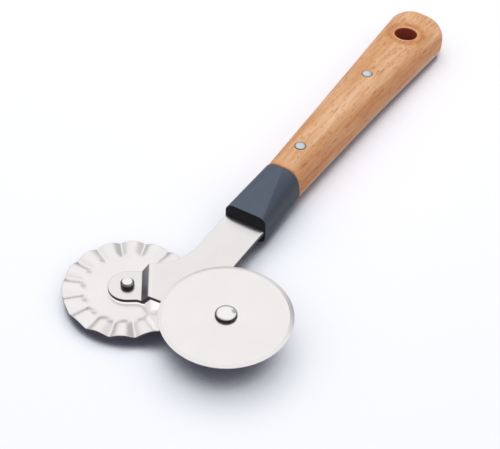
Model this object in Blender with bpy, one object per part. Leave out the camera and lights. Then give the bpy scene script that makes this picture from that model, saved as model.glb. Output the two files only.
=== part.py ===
"""Double pastry wheel: a plain and a fluted wheel on one steel fork plate.

The tool lies on its handle along Y, with the butt of the handle at +Y and the
wheels at -Y. Z = 0 is the table, X = 0 is the middle plane of the handle, and
Y = 0 is halfway along the whole tool. All sizes are in metres.
"""
import math

import bmesh
import bpy
import numpy as np

# Clearances
SEAT_GAP = 0.0003
PRESS_GAP = 0.0002
RUNNING_GAP = 0.0003
CUTTER_OVERRUN = 0.0010

# Wheels
PLAIN_WHEEL_RADIUS = 0.0225
FLUTED_WHEEL_RADIUS = 0.0225
WHEEL_THICKNESS = 0.0010
WHEEL_BORE_CLEARANCE = 0.0002
PLAIN_BEVEL_LENGTH = 0.0016
PLAIN_EDGE_LAND = 0.0003
FLUTE_COUNT = 16
FLUTE_HEIGHT = 0.00125
FLUTE_CREASE_DEPTH = 0.00010
FLUTE_INNER_RADIUS = 0.0132
FLUTE_RAMP_LENGTH = 0.0040
FLUTE_RAMP_SHARE = 0.6
FLUTE_PHASE = math.radians(18.6)

# Fork plate
PLATE_THICKNESS = 0.0015
PLATE_HEIGHT = 0.0089
AXLE_HALF_SPREAD = 0.0199
STEM_WIDTH = 0.0160
STEM_FILLET_RADIUS = 0.0190
ARM_ANGLE = math.radians(33.0)
TAB_RADIUS = 0.0068
PLAIN_TAB_RISE = 0.0034
FLUTED_TAB_DROP = 0.0036
JOGGLE_START = 0.0050
JOGGLE_RUN = 0.0030
JOGGLE_BEND = 0.0006
FRONT_EDGE_SETBACK = 0.0027
FRONT_EDGE_ARCH_RADIUS = 0.0800
FRONT_CORNER_RADIUS = 0.0030
TANG_WIDTH = 0.0100
TANG_CORNER_RADIUS = 0.0020
TANG_PAST_REAR_PIN = 0.0080
NECK_WIDTH = 0.0154
NECK_INSIDE_FERRULE = 0.0030

# Wheel rivets
RIVET_SHOULDER_RADIUS = 0.0025
RIVET_SHANK_RADIUS = 0.0019
RIVET_HEAD_RADIUS = 0.0038
RIVET_HEAD_HEIGHT = 0.0015
RIVET_HEAD_LIP = 0.0003
RIVET_TAIL_RADIUS = 0.0024
RIVET_TAIL_HEIGHT = 0.0019
RIVET_TAIL_CHAMFER = 0.0007

# Lengths along the tool
AXLE_TO_FERRULE = 0.0448
FERRULE_LENGTH = 0.0252
FERRULE_TO_FRONT_PIN = 0.0140
PIN_SPACING = 0.0537
REAR_PIN_TO_HOLE = 0.0350
HOLE_TO_BUTT = 0.0199

# Handle
HANDLE_WIDTH_FRONT = 0.0145
HANDLE_WIDTH_MIDDLE = 0.0185
HANDLE_WIDTH_BUTT = 0.0256
HANDLE_THICKNESS_FRONT = 0.0174
HANDLE_THICKNESS_MIDDLE = 0.0166
HANDLE_THICKNESS_BUTT = 0.0130
HANDLE_SQUARENESS_FRONT = 2.5
HANDLE_SQUARENESS_BUTT = 3.8
HANDLE_FLATTENING = 1.03
BUTT_ROUND_LENGTH = 0.0098
BUTT_ROUND_POWER = 2.15
BUTT_EDGE_LENGTH = 0.0018
BUTT_EDGE_POWER = 2.2
BUTT_SLANT = 0.14
BUTT_SLANT_LENGTH = 0.0160
TENON_LENGTH = 0.0070
TENON_WIDTH = 0.0106
TENON_THICKNESS = 0.0126
HANGING_HOLE_RADIUS = 0.0045
HANGING_HOLE_CHAMFER = 0.0006
PIN_RADIUS = 0.0020
PIN_HEAD_HEIGHT = 0.0004

# Ferrule
FERRULE_SIDE_STEP = 0.0003
FERRULE_FRONT_THICKNESS = 0.0120
FERRULE_FRONT_CORNER = 0.0032
FERRULE_REAR_STEP = 0.00015
FERRULE_REAR_FLAT = 0.0008
FERRULE_REAR_SQUARENESS = 2.45
FERRULE_EDGE_ROUND = 0.00025
JOINT_SLANT = 0.15
JOINT_SLANT_LENGTH = 0.0300

# Facets
ROUND_SEGMENTS = 28
WHEEL_SEGMENTS = 80
SECTION_POINTS = 40
HANDLE_STATIONS = 12
BUTT_STATIONS = 8
FERRULE_STATIONS = 10
FERRULE_CORNER_STEPS = 8
ARC_STEPS = 12
DOME_STEPS = 5
FLUTE_STEPS = 8
FLUTE_RAMP_RINGS = 4
SHARP_EDGE = math.radians(32.0)

# Places along Y, from the front of the wheels to the butt
FRONT_REACH = max(PLAIN_WHEEL_RADIUS, FLUTED_WHEEL_RADIUS)
AXLE_TO_BUTT = (AXLE_TO_FERRULE + FERRULE_LENGTH + FERRULE_TO_FRONT_PIN + PIN_SPACING
                + REAR_PIN_TO_HOLE + HOLE_TO_BUTT)
AXLE_Y = FRONT_REACH - (FRONT_REACH + AXLE_TO_BUTT) / 2
FERRULE_FRONT_Y = AXLE_Y + AXLE_TO_FERRULE
FERRULE_REAR_Y = FERRULE_FRONT_Y + FERRULE_LENGTH
FRONT_PIN_Y = FERRULE_REAR_Y + FERRULE_TO_FRONT_PIN
REAR_PIN_Y = FRONT_PIN_Y + PIN_SPACING
HOLE_Y = REAR_PIN_Y + REAR_PIN_TO_HOLE
BUTT_Y = HOLE_Y + HOLE_TO_BUTT
HANDLE_FRONT_Y = FERRULE_REAR_Y + PRESS_GAP
TANG_END_Y = REAR_PIN_Y + TANG_PAST_REAR_PIN

# The slanted butt reaches past its own middle by a little, as a tilted superellipse does
DUAL_POWER = BUTT_ROUND_POWER / (BUTT_ROUND_POWER - 1)
SLANTED_REACH = (BUTT_ROUND_LENGTH ** DUAL_POWER
                 + (BUTT_SLANT * HANDLE_WIDTH_BUTT / 2) ** DUAL_POWER) ** (1 / DUAL_POWER)
BUTT_TIP_Y = BUTT_Y - (SLANTED_REACH - BUTT_ROUND_LENGTH)

# Heights
HALF_PLATE = PLATE_THICKNESS / 2
PLAIN_TAB_HEIGHT = PLATE_HEIGHT + PLAIN_TAB_RISE
FLUTED_TAB_HEIGHT = PLATE_HEIGHT - FLUTED_TAB_DROP
TAB_TO_WHEEL = HALF_PLATE + RUNNING_GAP + WHEEL_THICKNESS / 2


def clear_scene():
    """Remove whatever the file holds, so that only the tool is in it."""
    for item in list(bpy.data.objects):
        bpy.data.objects.remove(item, do_unlink=True)


def make_material(name, colour, roughness, metallic):
    """Return a Principled material of one colour."""
    material = bpy.data.materials.new(name)
    material.use_nodes = True
    shader = material.node_tree.nodes["Principled BSDF"]
    shader.inputs["Base Color"].default_value = (*colour, 1.0)
    shader.inputs["Roughness"].default_value = roughness
    shader.inputs["Metallic"].default_value = metallic
    return material


def add_object(name, points, faces, material, place=(0.0, 0.0, 0.0)):
    """Make a mesh object from points and faces and put it at a place."""
    mesh = bpy.data.meshes.new(name)
    mesh.from_pydata([tuple(map(float, point)) for point in points], [], faces)
    work = bmesh.new()
    work.from_mesh(mesh)
    bmesh.ops.recalc_face_normals(work, faces=work.faces)
    work.to_mesh(mesh)
    work.free()
    mesh.shade_smooth()
    mesh.set_sharp_from_angle(angle=SHARP_EDGE)
    item = bpy.data.objects.new(name, mesh)
    if material is not None:
        mesh.materials.append(material)
    item.location = place
    bpy.context.collection.objects.link(item)
    return item


def ring_faces(first, second, count):
    """Return the quads between two rings of the same number of points."""
    return [(first + i, first + (i + 1) % count, second + (i + 1) % count, second + i)
            for i in range(count)]


def loft(rings, closed_at_point=None):
    """Join rings of points into one skin with flat ends, or with a point at the far end."""
    count = len(rings[0])
    points = np.concatenate(rings)
    faces = [tuple(range(count))]
    for index in range(len(rings) - 1):
        faces += ring_faces(index * count, (index + 1) * count, count)
    last = (len(rings) - 1) * count
    if closed_at_point is None:
        faces.append(tuple(range(last, last + count)))
    else:
        tip = len(points)
        points = np.vstack([points, closed_at_point])
        faces += [(last + i, last + (i + 1) % count, tip) for i in range(count)]
    return points, faces


def revolve(profile, segments=ROUND_SEGMENTS):
    """Turn a profile of (radius, height) pairs about Z.

    A profile that starts and ends on the axis gives a solid piece. Any other
    profile is closed on itself and gives a ring.
    """
    on_axis = profile[0][0] == 0.0
    turned = profile[1:-1] if on_axis else profile
    angles = np.arange(segments) * 2 * math.pi / segments
    rings = [np.column_stack([r * np.cos(angles), r * np.sin(angles), np.full(segments, z)])
             for r, z in turned]
    points = np.concatenate(rings)
    faces = []
    for index in range(len(turned) - 1):
        faces += ring_faces(index * segments, (index + 1) * segments, segments)
    last = (len(turned) - 1) * segments
    if on_axis:
        low = len(points)
        points = np.vstack([points, (0.0, 0.0, profile[0][1]), (0.0, 0.0, profile[-1][1])])
        faces += [((i + 1) % segments, i, low) for i in range(segments)]
        faces += [(last + i, last + (i + 1) % segments, low + 1) for i in range(segments)]
    else:
        faces += ring_faces(last, 0, segments)
    return points, faces


def arc(centre, radius, start, end, steps=ARC_STEPS):
    """Return points on a flat arc from one angle to another, both ends included."""
    angles = np.linspace(start, end, steps + 1)
    return [(centre[0] + radius * math.cos(a), centre[1] + radius * math.sin(a)) for a in angles]


def oval_section(half_width, half_height, power, y, centre_z):
    """Return one upright section ring: a superellipse in the XZ plane."""
    angles = np.arange(SECTION_POINTS) * 2 * math.pi / SECTION_POINTS
    across = np.sign(np.cos(angles)) * np.abs(np.cos(angles)) ** (2 / power)
    upward = np.sign(np.sin(angles)) * np.abs(np.sin(angles)) ** (2 / power)
    return np.column_stack([half_width * across, np.full(SECTION_POINTS, y),
                            centre_z + half_height * upward])


def through_three(share, start, middle, end):
    """Return the value at a share of the way on the curve through three sizes."""
    return (start * (1 - share) * (1 - 2 * share) + 4 * middle * share * (1 - share)
            + end * share * (2 * share - 1))


def handle_size(y):
    """Return the handle's nominal width, thickness and roundness at a place."""
    share = (y - HANDLE_FRONT_Y) / (BUTT_TIP_Y - HANDLE_FRONT_Y)
    width = through_three(share, HANDLE_WIDTH_FRONT, HANDLE_WIDTH_MIDDLE, HANDLE_WIDTH_BUTT)
    thickness = through_three(share, HANDLE_THICKNESS_FRONT, HANDLE_THICKNESS_MIDDLE,
                              HANDLE_THICKNESS_BUTT)
    power = HANDLE_SQUARENESS_FRONT + share * (HANDLE_SQUARENESS_BUTT - HANDLE_SQUARENESS_FRONT)
    return width, thickness, power


def end_rounding(y, length, power):
    """Return the share of the full size that is left near the rounded butt."""
    reach = max(0.0, (y - (BUTT_TIP_Y - length)) / length)
    return (1 - min(reach, 1.0) ** power) ** (1 / power)


def smooth_step(value):
    """Return a share that leaves 0 and reaches 1 gently."""
    value = min(max(value, 0.0), 1.0)
    return value * value * (3 - 2 * value)


def butt_edge(x, y, width):
    """Return the share of the height that is left near the butt's rounded outline.

    The edge keeps its roundness all along the outline, which is a superellipse
    seen from above.
    """
    share = np.minimum(np.abs(x) / (width / 2), 1.0)
    outline_y = BUTT_TIP_Y - BUTT_ROUND_LENGTH * (1 - (1 - share ** BUTT_ROUND_POWER)
                                                  ** (1 / BUTT_ROUND_POWER))
    reach = np.clip(1 - (outline_y - y) / BUTT_EDGE_LENGTH, 0.0, 1.0)
    return (1 - reach ** BUTT_EDGE_POWER) ** (1 / BUTT_EDGE_POWER)


def joint_slant(height):
    """Return how far the joint of wood and collar lies behind its own top at a height."""
    return JOINT_SLANT * (HANDLE_THICKNESS_FRONT - height)


def handle_section(y):
    """Return the handle's section: an oval flattened on top and underneath.

    The sections near the butt are sheared sideways, because the end is cut at a
    slant, and those near the collar lean with the slanted joint.
    """
    width, thickness, power = handle_size(y)
    half_width = width / 2 * end_rounding(y, BUTT_ROUND_LENGTH, BUTT_ROUND_POWER)
    half_height = thickness / 2
    ring = oval_section(half_width, half_height * HANDLE_FLATTENING, power, y, 0.0)
    ring[:, 2] = np.clip(ring[:, 2], -half_height, half_height)
    ring[:, 2] = half_height + ring[:, 2] * butt_edge(ring[:, 0], y, width)
    slant = BUTT_SLANT * smooth_step(1 - (BUTT_TIP_Y - y) / BUTT_SLANT_LENGTH)
    lean = smooth_step(1 - (y - HANDLE_FRONT_Y) / JOINT_SLANT_LENGTH)
    ring[:, 1] += lean * joint_slant(ring[:, 2]) - slant * ring[:, 0]
    return ring


def cut(target, cutter):
    """Cut one piece with another, which stays as a hidden guide."""
    cutter.hide_render = True
    cutter.display_type = "WIRE"
    modifier = target.modifiers.new(cutter.name, "BOOLEAN")
    modifier.operation = "DIFFERENCE"
    modifier.solver = "EXACT"
    modifier.object = cutter


def upright_cutter(name, radius, low, high, place):
    """Return a round cutter that stands along Z between two heights."""
    points, faces = revolve([(0.0, low), (radius, low), (radius, high), (0.0, high)])
    return add_object(name, points, faces, None, place)


def box_cutter(name, width, front, rear, low, high):
    """Return a box cutter centred on X = 0."""
    corners = [(-width / 2, low), (width / 2, low), (width / 2, high), (-width / 2, high)]
    rings = [np.array([(x, y, z) for x, z in corners]) for y in (front, rear)]
    points, faces = loft(rings)
    return add_object(name, points, faces, None)


def hanging_hole_profile():
    """Return the profile of the hanging hole, which opens at 45 degrees at both mouths."""
    top = handle_size(HOLE_Y)[1]
    mouth = HANGING_HOLE_RADIUS + HANGING_HOLE_CHAMFER + CUTTER_OVERRUN
    return [(0.0, -CUTTER_OVERRUN), (mouth, -CUTTER_OVERRUN),
            (HANGING_HOLE_RADIUS, HANGING_HOLE_CHAMFER),
            (HANGING_HOLE_RADIUS, top - HANGING_HOLE_CHAMFER),
            (mouth, top + CUTTER_OVERRUN), (0.0, top + CUTTER_OVERRUN)]


def make_handle():
    """Wooden handle: a tenon, a body that widens to the butt, slot and holes."""
    def tenon_ring(y):
        return oval_section(TENON_WIDTH / 2, TENON_THICKNESS / 2, HANDLE_SQUARENESS_FRONT, y,
                            HANDLE_THICKNESS_FRONT / 2)
    tenon_root = tenon_ring(HANDLE_FRONT_Y)
    tenon_root[:, 1] += joint_slant(tenon_root[:, 2])
    body_end = BUTT_TIP_Y - BUTT_ROUND_LENGTH
    stations = list(np.linspace(HANDLE_FRONT_Y, body_end, HANDLE_STATIONS))
    turns = np.arange(1, BUTT_STATIONS) / BUTT_STATIONS * math.pi / 2
    stations += [body_end + BUTT_ROUND_LENGTH * math.sin(turn) for turn in turns]
    rings = [tenon_ring(HANDLE_FRONT_Y - TENON_LENGTH), tenon_root]
    rings += [handle_section(y) for y in stations]
    butt_centre = (0.0, BUTT_TIP_Y, HANDLE_THICKNESS_BUTT / 2)
    points, faces = loft(rings, closed_at_point=butt_centre)
    wood = make_material("beech", (0.72, 0.44, 0.25), 0.45, 0.0)
    handle = add_object("handle", points, faces, wood)

    slot = box_cutter("tang_slot_cutter", TANG_WIDTH + 2 * PRESS_GAP,
                      HANDLE_FRONT_Y - TENON_LENGTH - CUTTER_OVERRUN, TANG_END_Y + SEAT_GAP,
                      PLATE_HEIGHT - HALF_PLATE - PRESS_GAP, PLATE_HEIGHT + HALF_PLATE + PRESS_GAP)
    cut(handle, slot)
    for label, y in (("front", FRONT_PIN_Y), ("rear", REAR_PIN_Y)):
        cut(handle, upright_cutter(label + "_pin_hole_cutter", PIN_RADIUS + PRESS_GAP,
                                   -CUTTER_OVERRUN, handle_size(y)[1] + CUTTER_OVERRUN,
                                   (0.0, y, 0.0)))
    points, faces = revolve(hanging_hole_profile())
    cut(handle, add_object("hanging_hole_cutter", points, faces, None, (0.0, HOLE_Y, 0.0)))
    return handle


def ferrule_quarter(half_width, half_height, flat_width, flat_height, power):
    """Return a quarter of a section: half the side face, a corner and half the top face."""
    turns = np.linspace(0.0, math.pi / 2, FERRULE_CORNER_STEPS + 1)
    across = flat_width + (half_width - flat_width) * np.cos(turns) ** (2 / power)
    upward = flat_height + (half_height - flat_height) * np.sin(turns) ** (2 / power)
    return np.vstack([(half_width, 0.0), np.column_stack([across, upward]),
                      (0.0, half_height)])


def ferrule_ring(y, inset=0.0):
    """Return the ferrule's section at a place.

    Each of its points goes straight from the front, a box with round corners, to
    the rear, where the corners have fanned out to quarters of an oval and the flat
    faces have narrowed almost to a line.
    """
    share = (y - FERRULE_FRONT_Y) / FERRULE_LENGTH
    half_width = STEM_WIDTH / 2 + FERRULE_SIDE_STEP
    half_height = FERRULE_FRONT_THICKNESS / 2
    front = ferrule_quarter(half_width, half_height, half_width - FERRULE_FRONT_CORNER,
                            half_height - FERRULE_FRONT_CORNER, 2.0)
    rear_middle = (HANDLE_THICKNESS_FRONT + FERRULE_REAR_STEP) / 2
    rear = ferrule_quarter(HANDLE_WIDTH_FRONT / 2 + FERRULE_REAR_STEP, rear_middle,
                           FERRULE_REAR_FLAT, FERRULE_REAR_FLAT, FERRULE_REAR_SQUARENESS)
    quarter = front + share * (rear - front)
    size = quarter.max(axis=0)
    quarter *= (size - inset) / size
    upper = np.vstack([quarter, (quarter * (-1, 1))[::-1][1:]])
    ring = np.vstack([upper, (upper * (1, -1))[::-1][1:-1]])
    height = ring[:, 1] + PLATE_HEIGHT + share * (rear_middle - PLATE_HEIGHT)
    return np.column_stack([ring[:, 0], y + share * joint_slant(height), height])


def make_ferrule():
    """Moulded collar between the steel stem and the wood."""
    inner = np.linspace(FERRULE_FRONT_Y + FERRULE_EDGE_ROUND,
                        FERRULE_REAR_Y - FERRULE_EDGE_ROUND, FERRULE_STATIONS)
    rings = [ferrule_ring(FERRULE_FRONT_Y, FERRULE_EDGE_ROUND)]
    rings += [ferrule_ring(y) for y in inner]
    rings += [ferrule_ring(FERRULE_REAR_Y, FERRULE_EDGE_ROUND)]
    points, faces = loft(rings)
    plastic = make_material("slate_plastic", (0.085, 0.105, 0.135), 0.42, 0.0)
    ferrule = add_object("ferrule", points, faces, plastic)

    neck_end = FERRULE_FRONT_Y + NECK_INSIDE_FERRULE
    low = PLATE_HEIGHT - HALF_PLATE - PRESS_GAP
    high = PLATE_HEIGHT + HALF_PLATE + PRESS_GAP
    cut(ferrule, box_cutter("neck_slot_cutter", NECK_WIDTH + 2 * PRESS_GAP,
                            FERRULE_FRONT_Y - CUTTER_OVERRUN, neck_end + SEAT_GAP, low, high))
    cut(ferrule, box_cutter("tang_passage_cutter", TANG_WIDTH + 2 * PRESS_GAP,
                            neck_end, FERRULE_REAR_Y, low, high))
    socket_front = HANDLE_FRONT_Y - TENON_LENGTH - SEAT_GAP
    socket_rear = FERRULE_REAR_Y + joint_slant(0.0) + CUTTER_OVERRUN
    rings = [oval_section(TENON_WIDTH / 2 + PRESS_GAP, TENON_THICKNESS / 2 + PRESS_GAP,
                          HANDLE_SQUARENESS_FRONT, y, HANDLE_THICKNESS_FRONT / 2)
             for y in (socket_front, socket_rear)]
    points, faces = loft(rings)
    cut(ferrule, add_object("tenon_socket_cutter", points, faces, None))
    return ferrule


def corner_arc_centre(tab, upward, inward):
    """Return the centre of the hollow corner between a tab's lower side and the front edge.

    It lies one corner radius outside the tab's side and one inside the circle of
    the front edge.
    """
    arch_centre_y = AXLE_Y - FRONT_EDGE_SETBACK - FRONT_EDGE_ARCH_RADIUS
    start = np.array(tab) - (TAB_RADIUS + FRONT_CORNER_RADIUS) * upward
    offset = start - np.array([0.0, arch_centre_y])
    half_b = float(offset @ inward)
    reach = FRONT_EDGE_ARCH_RADIUS - FRONT_CORNER_RADIUS
    root = math.sqrt(half_b ** 2 - float(offset @ offset) + reach ** 2)
    return start + (root - half_b) * inward, arch_centre_y


def half_plate_outline():
    """Return the right half of the flat plate's outline, from the tang end to the front."""
    tab = (AXLE_HALF_SPREAD, AXLE_Y)
    upward = np.array([math.sin(ARM_ANGLE), math.cos(ARM_ANGLE)])
    inward = np.array([-math.cos(ARM_ANGLE), math.sin(ARM_ANGLE)])
    half_stem = STEM_WIDTH / 2
    half_neck = NECK_WIDTH / 2
    half_tang = TANG_WIDTH / 2
    neck_front_y = FERRULE_FRONT_Y - SEAT_GAP
    neck_rear_y = FERRULE_FRONT_Y + NECK_INSIDE_FERRULE

    outline = arc((half_tang - TANG_CORNER_RADIUS, TANG_END_Y - TANG_CORNER_RADIUS),
                  TANG_CORNER_RADIUS, math.pi / 2, 0.0, ARC_STEPS // 3)
    outline += [(half_tang, neck_rear_y), (half_neck, neck_rear_y),
                (half_neck, neck_front_y), (half_stem, neck_front_y)]

    fillet_x = half_stem + STEM_FILLET_RADIUS
    rise = (TAB_RADIUS + STEM_FILLET_RADIUS - (fillet_x - tab[0]) * upward[0]) / upward[1]
    outline += arc((fillet_x, tab[1] + rise), STEM_FILLET_RADIUS, math.pi,
                   math.pi * 3 / 2 - ARM_ANGLE)
    outline += arc(tab, TAB_RADIUS, math.pi / 2 - ARM_ANGLE, -math.pi / 2 - ARM_ANGLE,
                   2 * ARC_STEPS)

    corner, arch_centre_y = corner_arc_centre(tab, upward, inward)
    edge_angle = math.atan2(corner[1] - arch_centre_y, corner[0])
    outline += arc(corner, FRONT_CORNER_RADIUS, math.pi / 2 - ARM_ANGLE, edge_angle,
                   ARC_STEPS // 3)
    outline += arc((0.0, arch_centre_y), FRONT_EDGE_ARCH_RADIUS, edge_angle, math.pi / 2,
                   ARC_STEPS // 2)[1:]
    return outline


def joggle_share(distance):
    """Return how much of the joggle is left at a distance from the axle along the arm.

    The ramp is straight between two short bends, each a parabola.
    """
    start = JOGGLE_START
    end = JOGGLE_START + JOGGLE_RUN
    slope = 1 / (JOGGLE_RUN - JOGGLE_BEND)
    if distance <= start:
        return 1.0
    if distance >= end:
        return 0.0
    if distance < start + JOGGLE_BEND:
        return 1.0 - slope * (distance - start) ** 2 / (2 * JOGGLE_BEND)
    if distance > end - JOGGLE_BEND:
        return slope * (end - distance) ** 2 / (2 * JOGGLE_BEND)
    return 1.0 - slope * (distance - start - JOGGLE_BEND / 2)


def fold_distances():
    """Return the distances from the axle at which the plate is creased for a joggle."""
    start = JOGGLE_START
    end = JOGGLE_START + JOGGLE_RUN
    return [start, start + JOGGLE_BEND / 2, start + JOGGLE_BEND,
            end - JOGGLE_BEND, end - JOGGLE_BEND / 2, end]


def make_fork_plate():
    """Steel plate with two joggled tabs, a stem and a hidden tang."""
    right = half_plate_outline()
    left = [(-x, y) for x, y in reversed(right[:-1])]
    mesh = bpy.data.meshes.new("fork_plate")
    work = bmesh.new()
    work.faces.new([work.verts.new((x, y, PLATE_HEIGHT)) for x, y in right + left])
    for side, lift in ((-1, -FLUTED_TAB_DROP), (1, PLAIN_TAB_RISE)):
        tab = np.array([side * AXLE_HALF_SPREAD, AXLE_Y, 0.0])
        inward = np.array([-side * math.cos(ARM_ANGLE), math.sin(ARM_ANGLE), 0.0])
        for distance in fold_distances():
            bmesh.ops.bisect_plane(work, geom=work.verts[:] + work.edges[:] + work.faces[:],
                                   plane_co=tab + distance * inward, plane_no=inward)
        for vertex in work.verts:
            if vertex.co.x * side > 0:
                along = float((np.array(vertex.co) - tab) @ inward)
                vertex.co.z += lift * joggle_share(along)
    bmesh.ops.triangulate(work, faces=work.faces[:])
    bmesh.ops.recalc_face_normals(work, faces=work.faces)
    work.to_mesh(mesh)
    work.free()
    steel = make_material("satin_steel", (0.78, 0.77, 0.76), 0.28, 1.0)
    mesh.materials.append(steel)
    mesh.set_sharp_from_angle(angle=SHARP_EDGE)
    plate = bpy.data.objects.new("fork_plate", mesh)
    bpy.context.collection.objects.link(plate)
    shell = plate.modifiers.new("thickness", "SOLIDIFY")
    shell.thickness = PLATE_THICKNESS
    shell.offset = 0.0
    shell.use_even_offset = True

    drill = HALF_PLATE + CUTTER_OVERRUN
    for label, side, height in (("fluted", -1, FLUTED_TAB_HEIGHT),
                                ("plain", 1, PLAIN_TAB_HEIGHT)):
        cut(plate, upright_cutter(label + "_axle_hole_cutter", RIVET_SHANK_RADIUS + PRESS_GAP,
                                  height - drill, height + drill,
                                  (side * AXLE_HALF_SPREAD, AXLE_Y, 0.0)))
    for label, y in (("front", FRONT_PIN_Y), ("rear", REAR_PIN_Y)):
        cut(plate, upright_cutter(label + "_tang_hole_cutter", PIN_RADIUS + PRESS_GAP,
                                  PLATE_HEIGHT - drill, PLATE_HEIGHT + drill, (0.0, y, 0.0)))
    return plate


def make_plain_wheel():
    """Flat cutting wheel with a bevel ground on both sides of its rim."""
    bore = RIVET_SHOULDER_RADIUS + WHEEL_BORE_CLEARANCE
    half = WHEEL_THICKNESS / 2
    shoulder = PLAIN_WHEEL_RADIUS - PLAIN_BEVEL_LENGTH
    profile = [(bore, -half), (shoulder, -half), (PLAIN_WHEEL_RADIUS, -PLAIN_EDGE_LAND / 2),
               (PLAIN_WHEEL_RADIUS, PLAIN_EDGE_LAND / 2), (shoulder, half), (bore, half)]
    points, faces = revolve(profile, WHEEL_SEGMENTS)
    steel = make_material("plain_wheel_steel", (0.80, 0.78, 0.78), 0.22, 1.0)
    place = (AXLE_HALF_SPREAD, AXLE_Y, PLAIN_TAB_HEIGHT + TAB_TO_WHEEL)
    return add_object("plain_wheel", points, faces, steel, place)


def flute_rise(radius, angle):
    """Return the height of the fluted sheet over the flat disc.

    Round lobes, the positive halves of a sine, meet in narrow creases. They rise
    from the flat disc over a short ramp to a share of their full height, and keep
    rising to the rim.
    """
    lobe = np.abs(np.sin(FLUTE_COUNT / 2 * (angle - FLUTE_PHASE)))
    reach = np.clip((radius - FLUTE_INNER_RADIUS) / FLUTE_RAMP_LENGTH, 0.0, 1.0)
    ramp = reach * reach * (3 - 2 * reach)
    outward = max(0.0, radius - FLUTE_INNER_RADIUS) / (FLUTED_WHEEL_RADIUS - FLUTE_INNER_RADIUS)
    growth = ramp * (FLUTE_RAMP_SHARE + (1 - FLUTE_RAMP_SHARE) * outward)
    return growth * (lobe * (FLUTE_HEIGHT + FLUTE_CREASE_DEPTH) - FLUTE_CREASE_DEPTH)


def make_fluted_wheel():
    """Pressed wheel whose rim is a ring of rounded flutes, for crimping."""
    bore = RIVET_SHOULDER_RADIUS + WHEEL_BORE_CLEARANCE
    count = FLUTE_COUNT * FLUTE_STEPS
    angles = FLUTE_PHASE + np.arange(count) * 2 * math.pi / count
    half = WHEEL_THICKNESS / 2
    ramp_end = FLUTE_INNER_RADIUS + FLUTE_RAMP_LENGTH
    radii = [bore, *np.linspace(FLUTE_INNER_RADIUS, ramp_end, FLUTE_RAMP_RINGS),
             (ramp_end + FLUTED_WHEEL_RADIUS) / 2, FLUTED_WHEEL_RADIUS]

    def sheet_ring(radius, side):
        return np.column_stack([radius * np.cos(angles), radius * np.sin(angles),
                                side * half + flute_rise(radius, angles)])
    rings = [sheet_ring(radius, -1) for radius in radii]
    rings += [sheet_ring(radius, 1) for radius in reversed(radii)]
    points = np.concatenate(rings)
    faces = []
    for index in range(len(rings)):
        faces += ring_faces(index * count, (index + 1) % len(rings) * count, count)
    steel = make_material("fluted_wheel_steel", (0.80, 0.78, 0.77), 0.20, 1.0)
    place = (-AXLE_HALF_SPREAD, AXLE_Y, FLUTED_TAB_HEIGHT - TAB_TO_WHEEL)
    return add_object("fluted_wheel", points, faces, steel, place)


def make_wheel_rivet(name, side, tab_height):
    """Shouldered rivet: a domed head outside the wheel and a button tail on the tab.

    Side is 1 for a wheel above its tab, and -1 for one below it.
    """
    shoulder = HALF_PLATE + PRESS_GAP
    head = HALF_PLATE + 2 * RUNNING_GAP + WHEEL_THICKNESS
    tail = -HALF_PLATE - PRESS_GAP
    dome_radius = RIVET_HEAD_RADIUS - RIVET_HEAD_LIP / 2
    dome = [(dome_radius * math.cos(a),
             head + RIVET_HEAD_LIP + (RIVET_HEAD_HEIGHT - RIVET_HEAD_LIP) * math.sin(a))
            for a in np.linspace(0.0, math.pi / 2, DOME_STEPS + 1)[:-1]]
    profile = [(0.0, tail - RIVET_TAIL_HEIGHT),
               (RIVET_TAIL_RADIUS - RIVET_TAIL_CHAMFER, tail - RIVET_TAIL_HEIGHT),
               (RIVET_TAIL_RADIUS, tail - RIVET_TAIL_HEIGHT + RIVET_TAIL_CHAMFER),
               (RIVET_TAIL_RADIUS, tail), (RIVET_SHANK_RADIUS, tail),
               (RIVET_SHANK_RADIUS, shoulder), (RIVET_SHOULDER_RADIUS, shoulder),
               (RIVET_SHOULDER_RADIUS, head), (RIVET_HEAD_RADIUS, head), *dome,
               (0.0, head + RIVET_HEAD_HEIGHT)]
    points, faces = revolve([(radius, side * height) for radius, height in profile])
    steel = make_material(name + "_steel", (0.74, 0.73, 0.72), 0.18, 1.0)
    place = (side * AXLE_HALF_SPREAD, AXLE_Y, tab_height)
    return add_object(name, points, faces, steel, place)


def make_handle_pin(name, y):
    """Pin through the wood and the tang, flush below and slightly domed on top."""
    top = handle_size(y)[1]
    dome = [(PIN_RADIUS * math.cos(a), top + PIN_HEAD_HEIGHT * math.sin(a))
            for a in np.linspace(0.0, math.pi / 2, DOME_STEPS + 1)[:-1]]
    profile = [(0.0, PRESS_GAP), (PIN_RADIUS, PRESS_GAP), *dome, (0.0, top + PIN_HEAD_HEIGHT)]
    points, faces = revolve(profile)
    alloy = make_material(name + "_alloy", (0.62, 0.68, 0.72), 0.35, 1.0)
    return add_object(name, points, faces, alloy, (0.0, y, 0.0))


def main():
    """Build every piece of the tool."""
    clear_scene()
    make_handle()
    make_ferrule()
    make_fork_plate()
    make_plain_wheel()
    make_fluted_wheel()
    make_wheel_rivet("plain_wheel_rivet", 1, PLAIN_TAB_HEIGHT)
    make_wheel_rivet("fluted_wheel_rivet", -1, FLUTED_TAB_HEIGHT)
    make_handle_pin("front_handle_pin", FRONT_PIN_Y)
    make_handle_pin("rear_handle_pin", REAR_PIN_Y)


main()
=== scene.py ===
"""Looks of the double pastry wheel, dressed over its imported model.

The tool lies on its handle along Y, with the butt of the handle at +Y and the
wheels at -Y. Z = 0 is the table and X = 0 the middle plane of the handle. All
sizes are in metres.
"""
import logging
import math
from collections.abc import Callable
from dataclasses import dataclass, field
from enum import Enum

import bmesh
import bpy
import numpy as np
from mathutils import Matrix


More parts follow.
